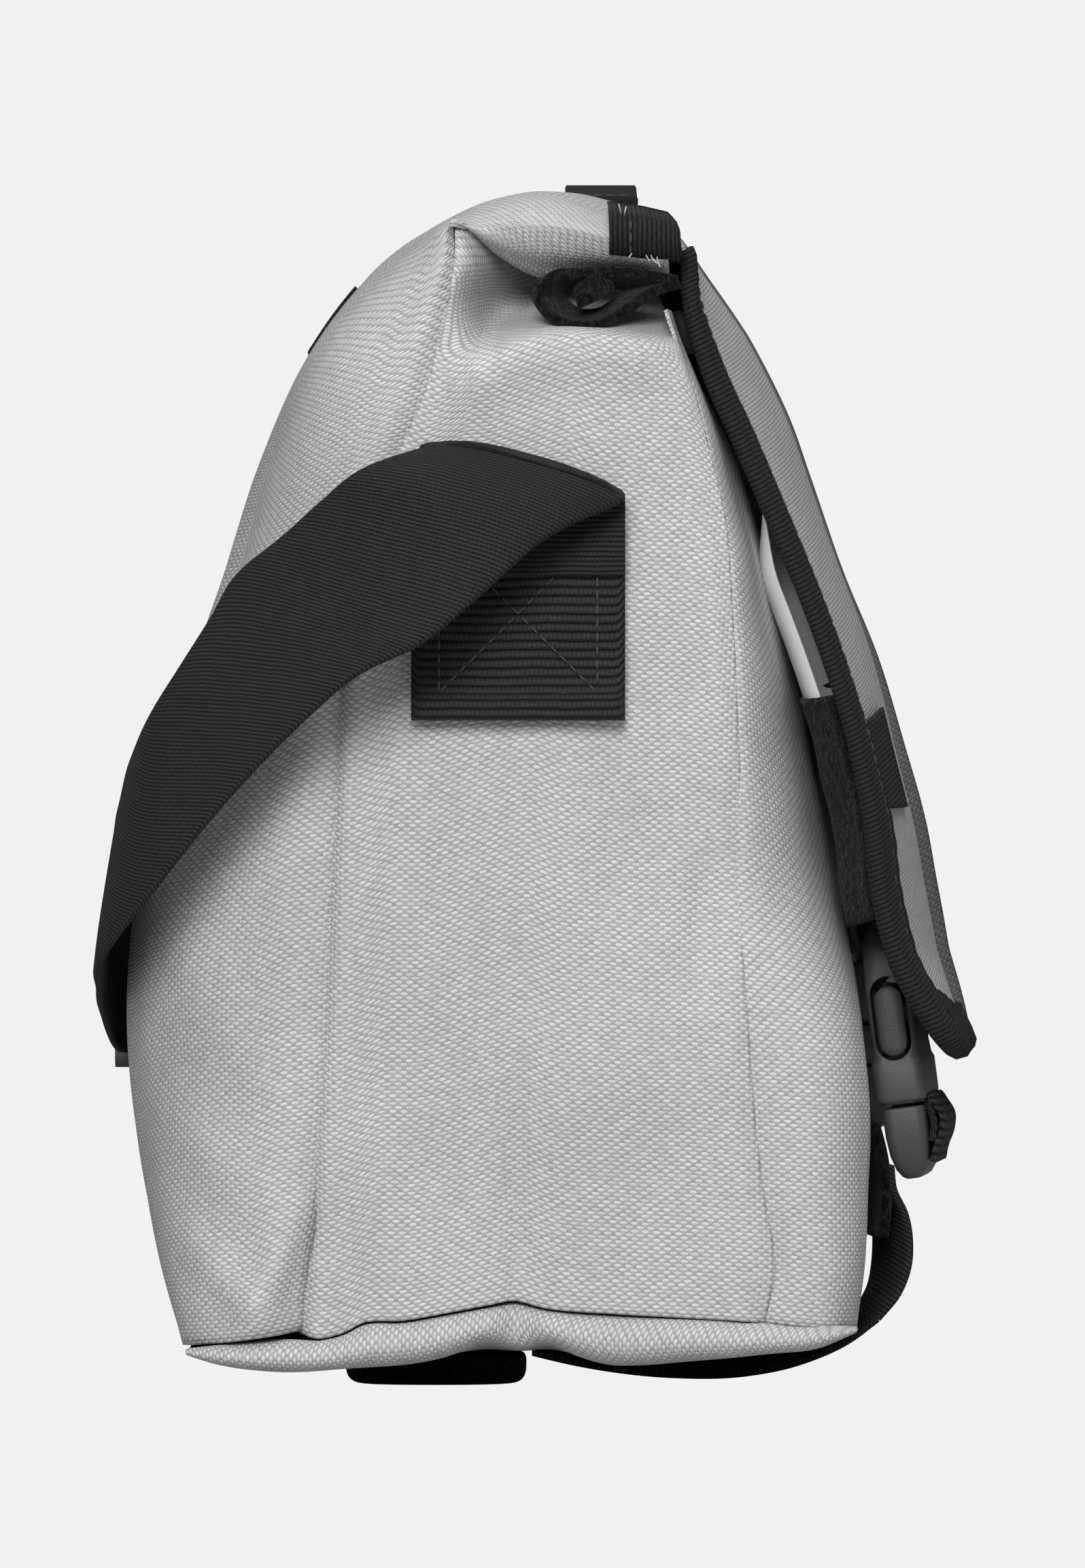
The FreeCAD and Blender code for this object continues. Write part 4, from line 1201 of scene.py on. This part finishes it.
def closure_straps():
    for side, place in ENDS:
        sign = -1 if side == "left" else 1
        plug = side + "_plug"
        edges = closure_edges(sign, BASE_STRAP, BASE_TURN)
        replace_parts(webbing(side + "_under_strap", edges, 1.7, strap_web, 70), side + "_base_strap")
        edges = closure_edges(sign, FRONT_STRAP, FRONT_TURN)
        piece = webbing(side + "_slack_strap", edges, 1.7, strap_web, 60, None)
        low, high = (0, 0, FRONT_STRAP[0][1] + 1), (0, 0, FRONT_STRAP[-1][1] - 1)
        bend(piece, plug, low, high, side + "_front_strap")
        webbing(side + "_strap_tail", place(buckle_edges(TAIL_PATH)), 1.7, patch_web, 60, plug)
        webbing(side + "_fuzzy_tail", closure_edges(sign, TAIL_OUTER, TAIL_INNER), 2.8, fuzzy, 40, plug)
        piece = webbing(side + "_socket_loop", place(buckle_edges(TAB_PATH)), 1.6, strap_web, 60, "flap")
        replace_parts(piece, side + "_socket_tab")


def base_pads():
    """Padded fuzzy tape under each closure strap: it carries the bag."""
    (_, y0, bottom), (far, y1, _) = drawn_box("base_strap_pads")
    top = bottom + 7.6
    x0, x1 = -far, -far + 40.0
    profile = [
        (y0 + 1.5, top), (y0, top - 2), (y0, bottom + 3), (y0 + 1.2, bottom + 0.8), (y0 + 5, bottom),
        (y1 - 6, bottom), (y1 - 1.6, bottom + 0.7), (y1, bottom + 3.2), (y1 - 0.4, top - 1.5),
        (y1 - 3, top)]
    xs = np.linspace(x0, x1, 14)[:, None]
    tight = ease(np.minimum(xs - x0, x1 - xs) / 4)
    middle = np.array(((y0 + y1) / 2, (top + bottom) / 2))
    y, z = (np.array(profile) - middle).T
    rings = spread(xs, middle[0] + y * (0.93 + 0.07 * tight), middle[1] + z * (0.6 + 0.4 * tight))
    for side, place in ENDS:
        piece = loft(side + "_base_pad", place(rings), fuzzy)
        subdivide(piece, 2)
        if side == "left":
            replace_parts(piece, "base_strap_pads")


def dress_adjuster():
    """The slide adjuster keeps its CAD shape and gets the buckles' plastic."""
    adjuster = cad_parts["strap_adjuster"]
    adjuster.data.materials.clear()
    adjuster.data.materials.append(plastic)


# ---- studio -------------------------------------------------------------------------------------
PAPER = grey(241)


WORLD_LIGHT = 0.1                     # strength of the backdrop as a light


def empty_tree(owner):
    owner.use_nodes = True
    owner.node_tree.nodes.clear()
    return owner.node_tree


def shade(tree, kind, colour, strength=None):
    node = tree.nodes.new(kind)
    node.inputs["Color"].default_value = (*colour, 1)
    if strength is not None:
        node.inputs["Strength"].default_value = strength
    return node


def end_tree(tree, kind, for_light, for_camera):
    """Ends a node tree with one shade for light and another for what the camera sees directly."""
    rays = tree.nodes.new("ShaderNodeLightPath")
    choose = tree.nodes.new("ShaderNodeMixShader")
    output = tree.nodes.new(kind)
    tree.links.new(rays.outputs["Is Camera Ray"], choose.inputs[0])
    tree.links.new(for_light.outputs[0], choose.inputs[1])
    tree.links.new(for_camera.outputs[0], choose.inputs[2])
    tree.links.new(choose.outputs[0], output.inputs["Surface"])


def studio():
    """Pale floor and backdrop that read as one even tone."""
    scene = bpy.context.scene
    scene.view_settings.view_transform = "Standard"
    scene.world = bpy.data.worlds.new("studio")
    tree = empty_tree(scene.world)
    shades = [shade(tree, "ShaderNodeBackground", PAPER, strength) for strength in (WORLD_LIGHT, 1.0)]
    end_tree(tree, "ShaderNodeOutputWorld", *shades)
    size, level = 6.0, -0.0005
    mesh = bpy.data.meshes.new("floor")
    corners = ((-size, -size), (size, -size), (size, size), (-size, size))
    mesh.from_pydata([(x, y, level) for x, y in corners], [], [(0, 1, 2, 3)])
    floor = bpy.data.objects.new("floor", mesh)
    scene.collection.objects.link(floor)
    paper = bpy.data.materials.new("floor_paper")
    tree = empty_tree(paper)
    matte = shade(tree, "ShaderNodeBsdfDiffuse", (0.55, 0.55, 0.55))
    end_tree(tree, "ShaderNodeOutputMaterial", matte, shade(tree, "ShaderNodeEmission", PAPER, 1.0))
    floor.data.materials.append(paper)


def soft_light(name, place, size, power):
    """A square soft light that faces the middle of the bag."""
    data = bpy.data.lights.new(name, "AREA")
    data.size = size
    data.energy = power
    light = bpy.data.objects.new(name, data)
    bpy.context.scene.collection.objects.link(light)
    light.location = place
    low, high = CAD_BOX
    light.rotation_mode = "QUATERNION"
    light.rotation_quaternion = ((low + high) / 2 - Vector(place)).to_track_quat("-Z", "Y")


def lights():
    soft_light("key", (-2.1, 0.15, 1.0), 0.8, 37)
    soft_light("top", (-0.5, -0.1, 1.8), 1.1, 12)
    soft_light("front_fill", (-0.3, -1.9, 1.3), 1.0, 2.5)
    soft_light("far_fill", (1.9, 0.6, 1.1), 1.4, 3)


SENSOR = 36.0
CAMERA_AT = Vector((-2.21, -0.0032, 0.1437))
NEAR_END = 2.006                      # camera to the near end face
VIEW_HEIGHT = 0.3674                  # height seen at the near end face


def camera():
    data = bpy.data.cameras.new("camera")
    data.sensor_fit = "VERTICAL"
    data.sensor_height = SENSOR
    data.sensor_width = SENSOR
    data.lens = SENSOR * NEAR_END / VIEW_HEIGHT
    eye = bpy.data.objects.new("camera", data)
    bpy.context.scene.collection.objects.link(eye)
    eye.location = CAMERA_AT
    eye.rotation_mode = "QUATERNION"
    eye.rotation_quaternion = Vector((1, 0, 0)).to_track_quat("-Z", "Y")
    bpy.context.scene.camera = eye


# ---- the bag ------------------------------------------------------------------------------------
back_panel()
front_panel()
end_panels()
base_panel()
mouth_tape()
roof_patch()
back_band()
inner_parts()
flap_fabric()
flap_liner()
flap_binding()
flap_fuzzy_tape()
label()
hook_tape()
strap_patch()
shoulder_strap()
top_handle()
buckles()
closure_straps()
base_pads()
dress_adjuster()
studio()
lights()
camera()
